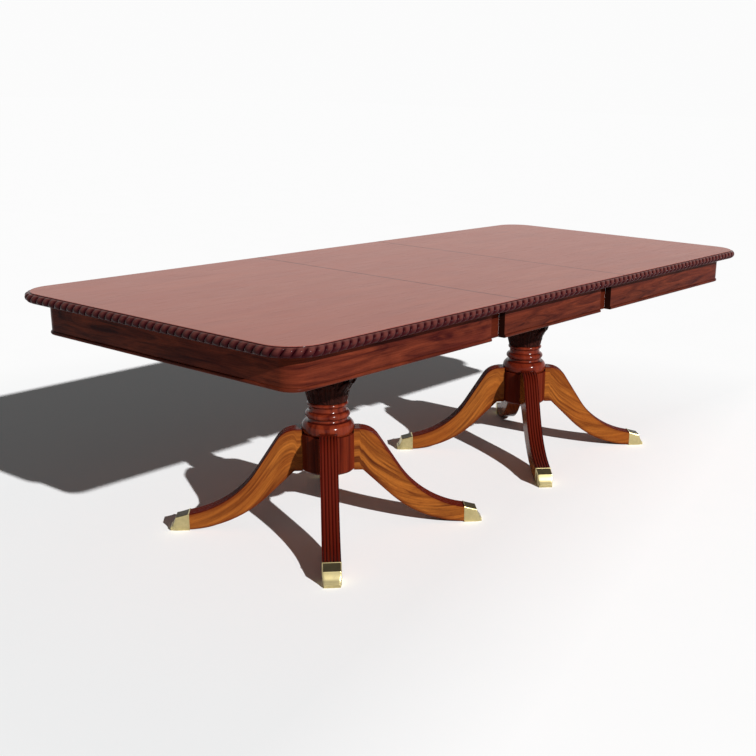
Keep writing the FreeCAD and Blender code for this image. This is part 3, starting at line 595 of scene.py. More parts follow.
class Finishes:
    """All the finishes of the table, made once."""

    def __init__(self) -> None:
        """Makes the materials."""
        self.top = TopFinish(
            "polished_mahogany_top", light=(0.325, 0.096, 0.059), dark=(0.262, 0.069, 0.043),
            red=(0.3, 0.077, 0.048), grain=Grain.LENGTH, ribbon=14.0, wave=3.0, ior=1.17, streaks=0.04,
            pores=0.08).make()
        # The lighter edge colours show as painted sky reflection and painted highlights on the lobes.
        self.edge = WoodFinish(
            "glazed_carved_edge", light=(0.34, 0.118, 0.092), dark=(0.23, 0.068, 0.052),
            red=(0.29, 0.09, 0.069), grain=Grain.LAID, ribbon=60.0, rough=0.13, ior=1.09,
            glaze=(0.017, 0.0012, 0.0026), glaze_share=1.0).make()
        self.apron = WoodFinish(
            "apron_mahogany", light=(0.128, 0.0255, 0.0105), dark=(0.012, 0.0014, 0.0017),
            red=(0.044, 0.0047, 0.0036), grain=Grain.LAID, ribbon=32.0, wave=5.0, warp=1.5, rough=0.26,
            streaks=0.2).make()
        self.block = WoodFinish(
            "block_mahogany", light=(0.075, 0.0135, 0.005), dark=(0.032, 0.0045, 0.002),
            red=(0.05, 0.0063, 0.0028), grain=Grain.LENGTH, ribbon=40.0, rough=0.5, streaks=0.25).make()
        self.slide = WoodFinish(
            "slide_beech", light=(0.5, 0.31, 0.16), dark=(0.38, 0.21, 0.1), red=(0.44, 0.25, 0.13),
            grain=Grain.LENGTH, ribbon=60.0, rough=0.5, ior=1.3, pores=0.3).make()
        self.bearer = WoodFinish(
            "bearer_mahogany", light=(0.3, 0.1, 0.04), dark=(0.16, 0.04, 0.02), red=(0.22, 0.05, 0.02),
            grain=Grain.WIDTH, ribbon=40.0, rough=0.5, ior=1.2).make()
        self.carved = WoodFinish(
            "carved_dark_mahogany", light=(0.032, 0.008, 0.0055), dark=(0.01, 0.0027, 0.0022),
            red=(0.02, 0.004, 0.003), grain=Grain.UPRIGHT, ribbon=60.0, rough=0.2).make()
        self.turned = WoodFinish(
            "turned_mahogany", light=(0.165, 0.025, 0.0085), dark=(0.034, 0.003, 0.002),
            red=(0.085, 0.0066, 0.0034), grain=Grain.UPRIGHT, rough=0.12, ior=1.2,
            glaze=(0.026, 0.002, 0.0015)).make()
        self.drum = WoodFinish(
            "drum_mahogany", light=(0.13, 0.019, 0.006), dark=(0.026, 0.0024, 0.0014),
            red=(0.058, 0.0048, 0.0025), grain=Grain.UPRIGHT, ribbon=46.0, rough=0.2).make()
        self.leg = WoodFinish(
            "leg_mahogany", light=(0.31, 0.1, 0.016), dark=(0.062, 0.0145, 0.004),
            red=(0.19, 0.046, 0.007), grain=Grain.LAID, ribbon=46.0, wave=3.2, warp=1.2, rough=0.2,
            ior=1.1, streaks=0.34, pores=0.5, glaze=(0.05, 0.0032, 0.0022), glaze_share=1.0).make()
        self.brass = MetalFinish(
            "polished_brass", bright=(0.55, 0.465, 0.235), dull=(0.36, 0.3, 0.145), rough=0.3).make()
        self.steel = MetalFinish(
            "plain_steel", bright=(0.62, 0.62, 0.62), dull=(0.42, 0.41, 0.4), rough=0.34).make()


@dataclass(frozen=True)
class EndRun:
    """A path in plan along the back, the end and the front of one table end, anticlockwise from above.

    The outward way turns by a right angle through each corner. The path is the corner's radius along
    that way from a centre that walks straight down the sides and across the end.
    """

    half_width: float
    end_reach: float
    seam_reach: float
    corner: float
    end: End

    @classmethod
    def between(cls, half_width: float, low: float, high: float, corner: float, end: End) -> "EndRun":
        """The run of an end that lies between two places along the table."""
        reach = (-low, -high) if end is End.A else (high, low)
        return cls(half_width, *reach, corner, end)

    @property
    def side(self) -> float:
        """Straight length of one long side."""
        return self.end_reach - self.corner - self.seam_reach

    @property
    def across(self) -> float:
        """Straight length of the end."""
        return 2.0 * (self.half_width - self.corner)

    @property
    def bend(self) -> float:
        """Length of one corner."""
        return self.corner * math.pi / 2.0

    @property
    def length(self) -> float:
        """Length of the whole run."""
        return 2.0 * (self.side + self.bend) + self.across

    def stations(self, straight: float, turn: float) -> np.ndarray:
        """Distances along the run for a board, close together in the corners.

        Args:
            straight: Longest step along a straight stretch.
            turn: Longest step in a corner.

        Returns:
            Distances from the start.
        """
        stretches = (self.side, self.bend, self.across, self.bend, self.side)
        steps = (straight, turn, straight, turn, straight)
        counts = [max(math.ceil(stretch / step), 1) for stretch, step in zip(stretches, steps)]
        parts = [np.full(count, stretch / count) for stretch, count in zip(stretches, counts)]
        return np.concatenate([[0.0], np.cumsum(np.concatenate(parts))])

    def at(self, way: np.ndarray) -> tuple[np.ndarray, np.ndarray]:
        """Points of the run and the outward way there.

        Args:
            way: Distances from the start.

        Returns:
            Points and outward ways, with x and y in the last axis.
        """
        first = np.clip(way, 0.0, self.side)
        turn = np.clip((way - self.side) / self.bend, 0.0, 1.0)
        second = np.clip(way - self.side - self.bend, 0.0, self.across)
        turn = turn + np.clip((way - self.side - self.bend - self.across) / self.bend, 0.0, 1.0)
        third = np.clip(way - self.side - 2.0 * self.bend - self.across, 0.0, self.side)
        angle = (1.0 + turn) * math.pi / 2.0
        outward = np.stack([np.cos(angle), np.sin(angle)], axis=-1)
        walk = np.stack([third - first - self.seam_reach, self.half_width - self.corner - second], axis=-1)
        return (walk + self.corner * outward) * -self.end.value, outward * -self.end.value


@dataclass(frozen=True)
class SideRun:
    """A straight path along one side of the leaf, anticlockwise from above."""

    half_width: float
    low: float
    high: float
    side: Side

    @property
    def length(self) -> float:
        """Length of the run."""
        return self.high - self.low

    def stations(self, straight: float, turn: float) -> np.ndarray:
        """Distances along the run for a board; the step in a corner has no use here."""
        return np.linspace(0.0, self.length, max(math.ceil(self.length / straight), 1) + 1)

    def at(self, way: np.ndarray) -> tuple[np.ndarray, np.ndarray]:
        """Points of the run and the outward way there, as for a table end.

        Args:
            way: Distances from the start.

        Returns:
            Points and outward ways, with x and y in the last axis.
        """
        x = self.low + way if self.side is Side.FRONT else self.high - way
        point = np.stack([x, np.full_like(x, self.side.value * self.half_width)], axis=-1)
        outward = np.zeros_like(point)
        outward[..., 1] = self.side.value
        return point, outward


Run = Union[EndRun, SideRun]


def carried(section: np.ndarray, run: Run, way: np.ndarray) -> np.ndarray:
    """A section carried along a run.

    Each point is the run's point, drawn inward by the first number of the section and set at the
    height of the second.

    Args:
        section: Inset and height of each point, with the last axis of 2.
        run: Path in plan.
        way: Distances along the run, rows by columns.

    Returns:
        Points, rows by columns by 3.
    """
    point, outward = run.at(way)
    plan = point - outward * section[..., :1]
    height = np.broadcast_to(section[..., 1:], plan.shape[:-1] + (1,))
    return np.concatenate([plan, height], axis=-1)


@dataclass
class CarvedEdge:
    """The carved edge of the top: a fillet, a dark quirk and a row of slanted lobes.

    The corners of the quirk are given from its inset: those of the brow down from the top, those of
    the bed from the quirk's floor. Shares run from 0 at the upper end of the carved swell to 1 at its
    foot.
    """

    finishes: Finishes
    corner: float = 0.112
    width: float = 0.016
    pitch: float = 0.0277
    leaf_pitch: float = 0.029
    lean: float = 0.017
    hollow: float = 0.0064
    fillet: float = 0.00072
    quirk_inset: float = 0.0138
    quirk_deep: float = 0.0026
    quirk_brow: Outline = ((0.0003, -0.0004), (0.0, -0.0012))
    quirk_bed: Outline = ((0.0, 0.0), (-0.0006, -0.0005))
    swell_step: float = 0.0011
    waist: float = 0.0135
    foot_inset: float = 0.009
    upper_bend: float = 0.0112
    lower_bend: float = 0.0135
    fine: float = 0.0009
    per_lobe: int = 14
    middle_shares: Span = (0.75, 0.45)
    fade_in_share: float = 0.34
    fade_out_share: float = 0.8
    # The lighter upper band of the swell is painted sky reflection.
    upper_glaze: float = 0.8
    lobe_glaze: float = 0.97
    upper_band_shares: Span = (0.04, 0.3)
    # Painted highlights on the crowns of the lobes.
    painted_highlight: float = 0.22
    highlight_height: float = 0.66
    highlight_shares: Span = (0.3, 0.75)
    valley_power: float = 1.2
    valley_gain: float = 1.4
    crease: float = 55.0

    def section(self, low: float, high: float) -> tuple[np.ndarray, np.ndarray]:
        """Closed ring of the section and the share of each point along the carved swell.

        Args:
            low: Level of the underside.
            high: Level of the top.

        Returns:
            Ring of inset and height, and the shares, below zero for plain points.
        """
        bed = high - self.quirk_deep
        back = [(self.width, low), (self.width, high), (self.width - self.fillet, high)]
        quirk = [(self.quirk_inset + inset, high + rise) for inset, rise in self.quirk_brow]
        quirk += [(self.quirk_inset + inset, bed + rise) for inset, rise in self.quirk_bed]
        swell = draw([(self.quirk_inset - self.swell_step, bed), (0.0, low + self.waist, self.upper_bend),
                      (self.foot_inset, low, self.lower_bend)], self.fine)
        ring = np.concatenate([back, quirk, swell, back[:1]])
        share = np.full(len(ring), -1.0)
        first = len(back) + len(quirk)
        way = run_length(swell)
        share[first:first + len(swell)] = way / way[-1]
        return ring, share

    def skin(self, run: Run, low: float, high: float, pitch: float) -> Shell:
        """The carved skin along a run.

        A lobe is a half ellipse over its own pitch, so its height is the root of one less the square
        of the distance from its middle, in halves of the pitch. The hollow takes the swell inward by
        the depth times one less that height, faded out at both ends of the swell. The middle of a lobe
        shifts along the run as the swell rises, and the grid leans with it, so that each valley lies
        on one line of points. Dark glazing covers the swell and the quirk; it is thinner at the upper
        end of the swell, a lighter band that is painted sky reflection. The valleys are darkened with
        painted shade, and the crowns of the lobes are lightened with painted highlights.

        Args:
            run: Path in plan.
            low: Level of the underside.
            high: Level of the top.
            pitch: Length of a lobe, fitted to a whole number of lobes.

        Returns:
            The skin.
        """
        ring, share = self.section(low, high)
        carved = share >= 0.0
        held = np.where(carved, share, np.where(np.arange(len(share)) < len(share) / 2.0, 0.0, 1.0))
        shift = self.lean * (0.5 - held)
        count = max(round(run.length / pitch), 1)
        pitch = run.length / count
        inner = (1.0 - np.cos(np.pi * np.arange(self.per_lobe) / self.per_lobe)) / 2.0
        lobes = np.arange(-1, count + 1)[:, None] + inner[None, :]
        phase = np.append(lobes.ravel(), count + 1.0)
        way = np.clip(phase[:, None] * pitch + shift[None, :], 0.0, run.length)
        local = np.mod((way - shift) / pitch + TINY, 1.0)
        height = np.sqrt(np.clip(1.0 - (2.0 * local - 1.0) ** 2, 0.0, 1.0))
        fade = smooth_step(held, 0.0, self.fade_in_share)
        fade = np.where(carved, fade * (1.0 - smooth_step(held, self.fade_out_share, 1.0)), 0.0)
        along = np.gradient(ring, axis=0)
        normal = np.stack([along[:, 1], -along[:, 0]], axis=1)
        normal /= np.maximum(np.hypot(normal[:, 0], normal[:, 1]), TINY)[:, None]
        middle = np.array([self.width * self.middle_shares[0], low + (high - low) * self.middle_shares[1]])
        inward = normal * np.sign(np.einsum("ij,ij->i", normal, middle - ring))[:, None]
        depth = self.hollow * (1.0 - height) * fade
        section = ring[None, :, :] + inward[None, :, :] * depth[:, :, None]
        section[..., 0] = np.maximum(section[..., 0], 0.0)
        points = carried(section, run, way)
        quirk = ~carved & (ring[:, 0] <= self.quirk_inset + NEAR) & (ring[:, 1] > low + self.waist)
        # Painted highlight on the crowns of the lobes, on the upper part of the swell.
        crown = smooth_step(height, self.highlight_height, 1.0) * (1.0 - smooth_step(held, *self.highlight_shares))
        # Lighter band at the upper end of the swell: painted sky reflection, darker below it.
        darker_below = (self.lobe_glaze - self.upper_glaze) * smooth_step(held, *self.upper_band_shares)
        body = np.where(carved, self.upper_glaze + darker_below, 0.0)
        # Painted shade in the valleys between the lobes.
        valley = (1.0 - height) ** self.valley_power * fade * self.valley_gain
        dark = body * (1.0 - self.painted_highlight * crown) + (1.0 - body) * valley
        glaze = np.maximum(dark, quirk.astype(float))
        places = np.stack([way, np.broadcast_to(run_length(ring), way.shape)], axis=-1)
        return shell(points, places, np.clip(glaze, 0.0, 1.0), capped=True)

    def build(self) -> None:
        """Builds the edge of both ends and of both sides of the leaf."""
        for end in End:
            node = f"edge_moulding_{end.tag}"
            low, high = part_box(node)
            run = EndRun.between(high[1], low[0], high[0], self.corner, end)
            skin = self.skin(run, low[2], high[2], self.pitch)
            piece = make_piece(f"carved_edge_{end.tag}", [skin], self.crease)
            seat(piece, self.finishes.edge, end.body, Slot.EDGE, node)
        for side in Side:
            node = f"leaf_edge_{side.tag}"
            low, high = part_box(node)
            run = SideRun(max(abs(low[1]), abs(high[1])), low[0], high[0], side)
            skin = self.skin(run, low[2], high[2], self.leaf_pitch)
            piece = make_piece(f"carved_leaf_edge_{side.tag}", [skin], self.crease)
            seat(piece, self.finishes.edge, "leaf", Slot.EDGE, node)


@dataclass
class ApronFrame:
    """The apron boards with their beads, and the blocks behind them."""

    finishes: Finishes
    corner: float = 0.048
    thick: float = 0.022
    nose: float = 0.004
    ease: float = 0.0012
    straight: float = 0.08
    turn: float = 0.005
    fine: float = 0.0006
    bead_fine: float = 0.0008
    seam_near: float = 0.001
    snug_share: float = 0.8
    block_deep: float = 0.036
    end_grain: float = 0.0005

    def board(self, run: Run, low: float, high: float) -> Shell:
        """An apron board with eased arrises, between two levels along the path of its outer face."""
        ring = draw([(self.thick, low), (self.ease, low), (0.0, low + self.ease, -self.ease),
                     (0.0, (low + high) / 2.0), (0.0, high - self.ease), (self.ease, high, -self.ease),
                     (self.thick, high), (self.thick, low)], self.fine)
        return self.swept(ring, run)

    def bead(self, run: Run, low: float, high: float) -> Shell:
        """A bead with a round nose that stands out from the apron's face.

        Args:
            run: Path in plan of the apron's outer face.
            low: Level of the underside.
            high: Level of the top.

        Returns:
            The skin.
        """
        half = (high - low) / 2.0
        bend = (half * half + self.nose * self.nose) / (2.0 * self.nose)
        ring = draw([(self.thick, low), (0.0, low), (-self.nose, low + half, -bend),
                     (0.0, high, -bend), (self.thick, high), (self.thick, low)], self.bead_fine)
        return self.swept(ring, run)

    def swept(self, ring: np.ndarray, run: Run) -> Shell:
        """A closed section carried along a run.

        The places are laid out along the run. The end faces are darkened fully: the end grain's darker
        colour, with painted shade in the gaps where the boards meet at the seams.

        Args:
            ring: Closed ring of inset and height.
            run: Path in plan.

        Returns:
            The skin.
        """
        ends = np.array([self.end_grain, run.length - self.end_grain])
        stations = np.sort(np.concatenate([run.stations(self.straight, self.turn), ends]))
        way = np.repeat(stations[:, None], len(ring), axis=1)
        section = np.broadcast_to(ring, way.shape + (2,))
        places = np.stack([way, np.broadcast_to(run_length(ring), way.shape)], axis=-1)
        # End faces darkened fully: darker end grain, and painted shade in the seam gaps.
        glaze = np.zeros(way.shape)
        glaze[[0, -1]] = 1.0
        return shell(carried(section, run, way), places, glaze, capped=True)

    def snug(self, x: float) -> float:
        """An end that meets a seam, drawn close to it; any other end stays."""
        gap = math.copysign(SEAM, x) - x
        return x + self.snug_share * gap if abs(gap) < self.seam_near else x

    def blocks(self, node: str, body: str) -> None:
        """A pair of blocks behind the aprons, one on each side.

        Args:
            node: Frame node of the pair.
            body: Body they move with.
        """
        low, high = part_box(node)
        eased = low[2] + self.ease
        ring = draw([(0.0, eased), (0.0, high[2]), (self.block_deep, high[2]), (self.block_deep, eased),
                     (self.block_deep - self.ease, low[2]), (self.ease, low[2]), (0.0, eased)], self.fine)
        runs = [SideRun(high[1], self.snug(low[0]), self.snug(high[0]), side) for side in Side]
        piece = make_piece(f"{node}_pair", [self.swept(ring, run) for run in runs])
        seat(piece, self.finishes.block, body, Slot.BLOCK, node)

    def build(self) -> None:
        """Builds boards and beads of both ends and of the leaf, and the blocks behind them."""
        for end in End:
            low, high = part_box(f"apron_{end.tag}")
            run = EndRun.between(high[1], self.snug(low[0]), self.snug(high[0]), self.corner, end)
            self.pair(end.body, end.tag, f"apron_{end.tag}", f"apron_bead_{end.tag}", run)
            dress(f"corner_blocks_{end.tag}", self.finishes.block)
        for side in Side:
            low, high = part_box(f"leaf_apron_{side.tag}")
            run = SideRun(max(abs(low[1]), abs(high[1])), self.snug(low[0]), self.snug(high[0]), side)
            self.pair("leaf", f"leaf_{side.tag}", f"leaf_apron_{side.tag}", f"leaf_bead_{side.tag}", run)
        self.blocks("joint_blocks_a", "end_a")
        self.blocks("leaf_joint_blocks", "leaf")

    def pair(self, body: str, tag: str, board: str, bead: str, run: Run) -> None:
        """One board and its bead.

        Args:
            body: Body they move with.
            tag: Ending of the names.
            board: Frame node of the board.
            bead: Frame node of the bead.
            run: Path in plan of the board's outer face.
        """
        low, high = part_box(board)
        piece = make_piece(f"apron_board_{tag}", [self.board(run, low[2], high[2])])
        seat(piece, self.finishes.apron, body, Slot.APRON, board)
        low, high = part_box(bead)
        piece = make_piece(f"apron_bead_{tag}", [self.bead(run, low[2], high[2])])
        seat(piece, self.finishes.apron, body, Slot.APRON, bead)


@dataclass
class Top:
    """The polished panels of both ends and of the leaf."""

    finishes: Finishes

    def build(self) -> None:
        """Dresses the panels."""
        for node in ("top_panel_a", "leaf_panel", "top_panel_b"):
            dress(node, self.finishes.top)


@dataclass
class Slides:
    """The extension slides and bearers under the top, and the steel plates and screws."""

    finishes: Finishes

    def build(self) -> None:
        """Dresses the hidden work."""
        for side in Side:
            for slide in ("slide_rail_a", "slide_rail_b", "slide_centre"):
                dress(f"{slide}_{side.tag}", self.finishes.slide)
        for end in End:
            dress(f"bearer_{end.tag}", self.finishes.bearer)
            for fitting in ("spider_plate", "spider_screws", "frame_screws"):
                dress(f"{fitting}_{end.tag}", self.finishes.steel)


@dataclass(frozen=True)
class LeafRow:
    """One row of acanthus leaves carved round the bell of a capital.

    Shares and spans up a leaf run from 0 at its foot to 1 at its tip, those across it from 0 at the
    midrib to 1 at its side.
    """

    foot: float
    tip: float
    count: int
    half: float
    lift: float
    curl: float
    turn: float
    lobes: float = 4.0
    rib: float = 0.0018
    furrow: float = 0.0016
    vein: float = 0.0014
    least_half: float = 0.0001
    widest_share: float = 0.62
    foot_width_share: float = 0.5
    tip_power: int = 6
    notch_share: float = 0.24
    lobe_phase: float = 0.15
    vein_slant: float = 0.15
    vein_end_share: float = 0.8
    foot_lift_share: float = 0.4
    lift_span: Span = (0.0, 0.3)
    curl_span: Span = (0.45, 0.92)
    tip_share: float = 0.9
    rib_share: float = 0.12
    rib_fall: float = 0.5
    furrow_share: float = 0.26
    furrow_width_share: float = 0.09
    droop: float = 0.35
    edge_share: float = 0.14
    furrow_painted_shade: float = 0.8
    vein_painted_shade: float = 0.25

    def relief(self, angle: np.ndarray, level: np.ndarray,
               radius: np.ndarray) -> tuple[np.ndarray, np.ndarray]:
        """How far the leaves stand off the bell, and the painted shade in their furrows, in their veins, at
        their edges and on the bell between them.

        Up a leaf the body lifts from the bell and curls outward toward the tip, where it ends in a
        round. Across, the half width swells to its widest above the middle, closes at the tip and is
        notched between the lobes. The sides fall back with the square of the distance from the
        midrib; a rib stands along the middle between two furrows, and a vein runs out into each lobe
        as a wave that climbs with that distance.

        Args:
            angle: Angles round the axis, one row.
            level: Heights, one column.
            radius: Radius of the bell at these heights, one column.

        Returns:
            Stand-off in metres and share of painted shade, heights by angles.
        """
        climb = (level - self.foot) / (self.tip - self.foot)
        inside = ((climb >= 0.0) & (climb <= 1.0)).astype(float)
        up = np.clip(climb, 0.0, 1.0)
        sector = 2.0 * math.pi / self.count
        away = np.abs(np.mod(angle - self.turn + sector / 2.0, sector) - sector / 2.0) * radius
        rise = np.sin(math.pi / 2.0 * np.minimum(up / self.widest_share, 1.0))
        swell = self.foot_width_share + (1.0 - self.foot_width_share) * rise
        swell = swell * np.sqrt(1.0 - up ** self.tip_power)
        notch = np.sqrt(np.abs(np.sin(math.pi * (self.lobes * up + self.lobe_phase))))
        half = self.half * swell * (1.0 - self.notch_share + self.notch_share * notch)
        side = away / np.maximum(half, self.least_half)
        lifted = self.foot_lift_share + (1.0 - self.foot_lift_share) * smooth_step(up, *self.lift_span)
        body = self.lift * lifted + self.curl * smooth_step(up, *self.curl_span)
        past = np.clip((up - self.tip_share) / (1.0 - self.tip_share), 0.0, 1.0)
        tip_round = np.sqrt(1.0 - past ** 2)
        rib = self.rib * band(side, 0.0, self.rib_share) * (1.0 - self.rib_fall * up)
        furrow = band(side, self.furrow_share, self.furrow_width_share)
        wave = np.cos(2.0 * math.pi * (self.lobes * (up - self.vein_slant * side) + self.lobe_phase))
        vein = self.vein * wave * np.minimum(side, 1.0) * (1.0 - smooth_step(up, self.vein_end_share, 1.0))
        stand = (body * (1.0 - self.droop * side ** 2) + rib - self.furrow * furrow + vein) * tip_round
        mask = smooth_step(1.0 - side, 0.0, self.edge_share) * inside
        # Painted shade in the furrows and the hollows of the veins, rising to full at the leaf edges and on
        # the bell between the leaves.
        dark = self.furrow_painted_shade * furrow + self.vein_painted_shade * (1.0 - wave) * np.minimum(side, 1.0)
        return np.maximum(stand, 0.0) * mask, np.clip(dark, 0.0, 1.0) * mask + (1.0 - mask)


@dataclass
class Spot:
    """Where a pedestal stands: its end of the table and its upright axis."""

    end: End
    turns: int = 96
    lay_radius: float = 0.07

    def __post_init__(self) -> None:
        """Finds the axis from the drum of the frame."""
        low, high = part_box(f"drum_{self.end.tag}")
        self.axis = ((low[0] + high[0]) / 2.0, (low[1] + high[1]) / 2.0)

    def turned(self, profile: np.ndarray, turns: int, relief: Amount = 0.0, glaze: Amount = 0.0) -> Shell:
        """A profile of radius and height turned round the axis.

        Args:
            profile: Radius and height of each point.
            turns: Steps of one turn.
            relief: Stand-off added to the radius, one number or profile points by angles.
            glaze: Share of dark glazing and painted light, one number or profile points by angles.

        Returns:
            The skin.
        """
        angle = np.linspace(0.0, 2.0 * np.pi, turns + 1)
        grid = (len(profile), turns + 1)
        radius = np.broadcast_to(profile[:, :1] + relief, grid)
        points = np.stack([self.axis[0] + radius * np.cos(angle), self.axis[1] + radius * np.sin(angle),
                           np.broadcast_to(profile[:, 1:], grid)], axis=-1)
        points[:, -1] = points[:, 0]
        way = np.broadcast_to(run_length(profile)[:, None], grid)
        places = np.stack([way, np.broadcast_to(angle * self.lay_radius, grid)], axis=-1)
        return shell(points, places, np.broadcast_to(glaze, grid))

    def yaw(self, node: str) -> float:
        """Direction in which a frame node lies, seen from the axis."""
        low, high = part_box(node)
        return math.atan2((low[1] + high[1]) / 2.0 - self.axis[1], (low[0] + high[0]) / 2.0 - self.axis[0])

    def placed(self, points: np.ndarray, yaw: float) -> np.ndarray:
        """Points of a piece that reaches along X, turned to a direction and set on the axis."""
        cos, sin = math.cos(yaw), math.sin(yaw)
        return np.stack([self.axis[0] + points[..., 0] * cos - points[..., 1] * sin,
                         self.axis[1] + points[..., 0] * sin + points[..., 1] * cos, points[..., 2]], axis=-1)


@dataclass
class Turnery:
    """The drum and the column of one pedestal.

    The column's outline gives radius, level and bend from the top of the collar, by the torus and the
    neck, to the ring under the capital. Painted shade darkens its grooves.
    """

    finishes: Finishes
    spot: Spot
    chamfer: float = 0.006
    drum_ease: float = 0.001
    drum_fine: float = 0.0005
    collar: float = 0.076
    collar_ease: float = 0.0005
    outline: Outline = ((0.07, 0.346, 0.027), (0.0636, 0.346), (0.063, 0.3462), (0.06, 0.3555, -0.012),
                        (0.06, 0.3765, 0.0106), (0.0588, 0.378), (0.0585, 0.393, -0.016), (0.0592, 0.394),
                        (0.0592, 0.405, 0.0058))
    spigot: float = 0.03
    column_fine: float = 0.001
    groove_levels: Corner = (0.3465, 0.3555, 0.3775, 0.3935)
    groove: float = 0.0016

    def drum(self, node: str) -> None:
        """The drum, with its chamfered foot.

        Args:
            node: Frame node of the drum.
        """
        low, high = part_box(node)
        radius = (high[0] - low[0]) / 2.0
        ring = draw([(0.0, low[2]), (radius - self.chamfer, low[2]), (radius, low[2] + self.chamfer),
                     (radius, high[2] - self.drum_ease),
                     (radius - self.drum_ease, high[2], self.drum_ease), (0.0, high[2])], self.drum_fine)
        piece = make_piece(f"turned_{node}", [self.spot.turned(ring, self.spot.turns)])
        seat(piece, self.finishes.drum, self.spot.end.body, Slot.TURNED, node)

    def column(self, node: str, foot: float) -> None:
        """The column: collar, torus, neck and ring, with a spigot for the capital.

        Args:
            node: Frame node of the column.
            foot: Level of the drum's top.
        """
        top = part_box(node)[1][2]
        ring = draw([(0.0, foot), (self.collar - self.collar_ease, foot),
                     (self.collar, foot + self.collar_ease), *self.outline,
                     (self.spigot, self.outline[-1][1]), (self.spigot, top), (0.0, top)], self.column_fine)
        # Painted shade in the grooves.
        dark = band(ring[:, 1:], np.array(self.groove_levels), self.groove).max(axis=1)
        piece = make_piece(f"turned_{node}", [self.spot.turned(ring, self.spot.turns, glaze=dark[:, None])])
        seat(piece, self.finishes.turned, self.spot.end.body, Slot.TURNED, node)

    def build(self) -> None:
        """Builds the drum and the column on it."""
        drum = f"drum_{self.spot.end.tag}"
        self.drum(drum)
        self.column(f"column_{self.spot.end.tag}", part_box(drum)[1][2])


@dataclass
class Capital:
    """The carved capital: a bell with two rows of leaves, a lip, a neck between two coves and the head.

    Drops are measured down from the top. The feet of the leaves and the lower tips are measured up
    from the bell's foot, the upper tips down from its rim.
    """

    finishes: Finishes
    spot: Spot
    bore: float = 0.0303
    foot: float = 0.058
    rim: float = 0.092
    rim_drop: float = 0.1339
    bell_bend: float = -0.26
    bell_fine: float = 0.002
    bell_rings: int = 104
    lip: float = 0.0955
    lip_ease: float = 0.001
    lip_high: float = 0.018
    lip_bend: float = 0.011
    neck: float = 0.066
    neck_drop: float = 0.0777
    neck_bend: float = -0.045
    cove_drop: float = 0.05
    head: float = 0.084
    head_drop: float = 0.028
    head_bend: float = -0.026
    fine: float = 0.004
    turns: int = 480
    leaves: int = 8
    lower_foot: float = 0.001
    lower_tip: float = 0.074
    lower_half: float = 0.0265
    lower_lift: float = 0.0035
    lower_curl: float = 0.011
    upper_foot: float = 0.008
    upper_tip: float = 0.003
    upper_half: float = 0.0255
    upper_lift: float = 0.0018
    upper_curl: float = 0.007
    plain_glaze: float = 0.15
    crease: float = 60.0

    def rows(self, base: float, rim: float) -> tuple[LeafRow, LeafRow]:
        """The lower row of leaves, and the upper one that shows in the gaps between them.

        Args:
            base: Level of the bell's foot.
            rim: Level of the bell's rim.

        Returns:
            Both rows.
        """
        half_sector = math.pi / self.leaves
        lower = LeafRow(foot=base + self.lower_foot, tip=base + self.lower_tip, count=self.leaves,
                        half=self.lower_half, lift=self.lower_lift, curl=self.lower_curl,
                        turn=2.0 * half_sector)
        upper = LeafRow(foot=base + self.upper_foot, tip=rim - self.upper_tip, count=self.leaves,
                        half=self.upper_half, lift=self.upper_lift, curl=self.upper_curl, turn=half_sector)
        return lower, upper

    def build(self) -> None:
        """Builds the capital, carved where a leaf of either row stands off the bell."""
        node = f"capital_{self.spot.end.tag}"
        low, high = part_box(node)
        base, top = low[2], high[2]
        rim = top - self.rim_drop
        line = draw([(self.foot, base), (self.rim, rim, self.bell_bend)], self.bell_fine)
        bell = spread(line, np.linspace(0.0, 1.0, self.bell_rings))
        upper = draw([(self.rim, rim), (self.lip, rim + self.lip_ease),
                      (self.lip, rim + self.lip_high, self.lip_bend),
                      (self.neck, top - self.neck_drop, self.neck_bend), (self.neck, top - self.cove_drop),
                      (self.head, top - self.head_drop, self.head_bend), (self.head, top),
                      (self.bore, top), (self.bore, base), (self.foot, base)], self.fine)
        ring = np.concatenate([bell, upper[1:]])
        angle = np.linspace(0.0, 2.0 * np.pi, self.turns + 1)[None, :]
        level, radius = bell[:, 1:], bell[:, :1]
        (first, first_dark), (second, second_dark) = (row.relief(angle, level, radius)
                                                      for row in self.rows(base, rim))
        stand = np.minimum(np.maximum(first, second), self.lip - radius)
        # Painted shade of whichever row stands out further.
        dark = np.where(first >= second, first_dark, second_dark)
        plain = np.zeros((len(ring) - len(bell), self.turns + 1))
        skin = self.spot.turned(ring, self.turns, np.concatenate([stand, plain]),
                                np.concatenate([dark, plain + self.plain_glaze]))
        piece = make_piece(f"carved_{node}", [skin], self.crease)
        seat(piece, self.finishes.carved, self.spot.end.body, Slot.CARVED, node)


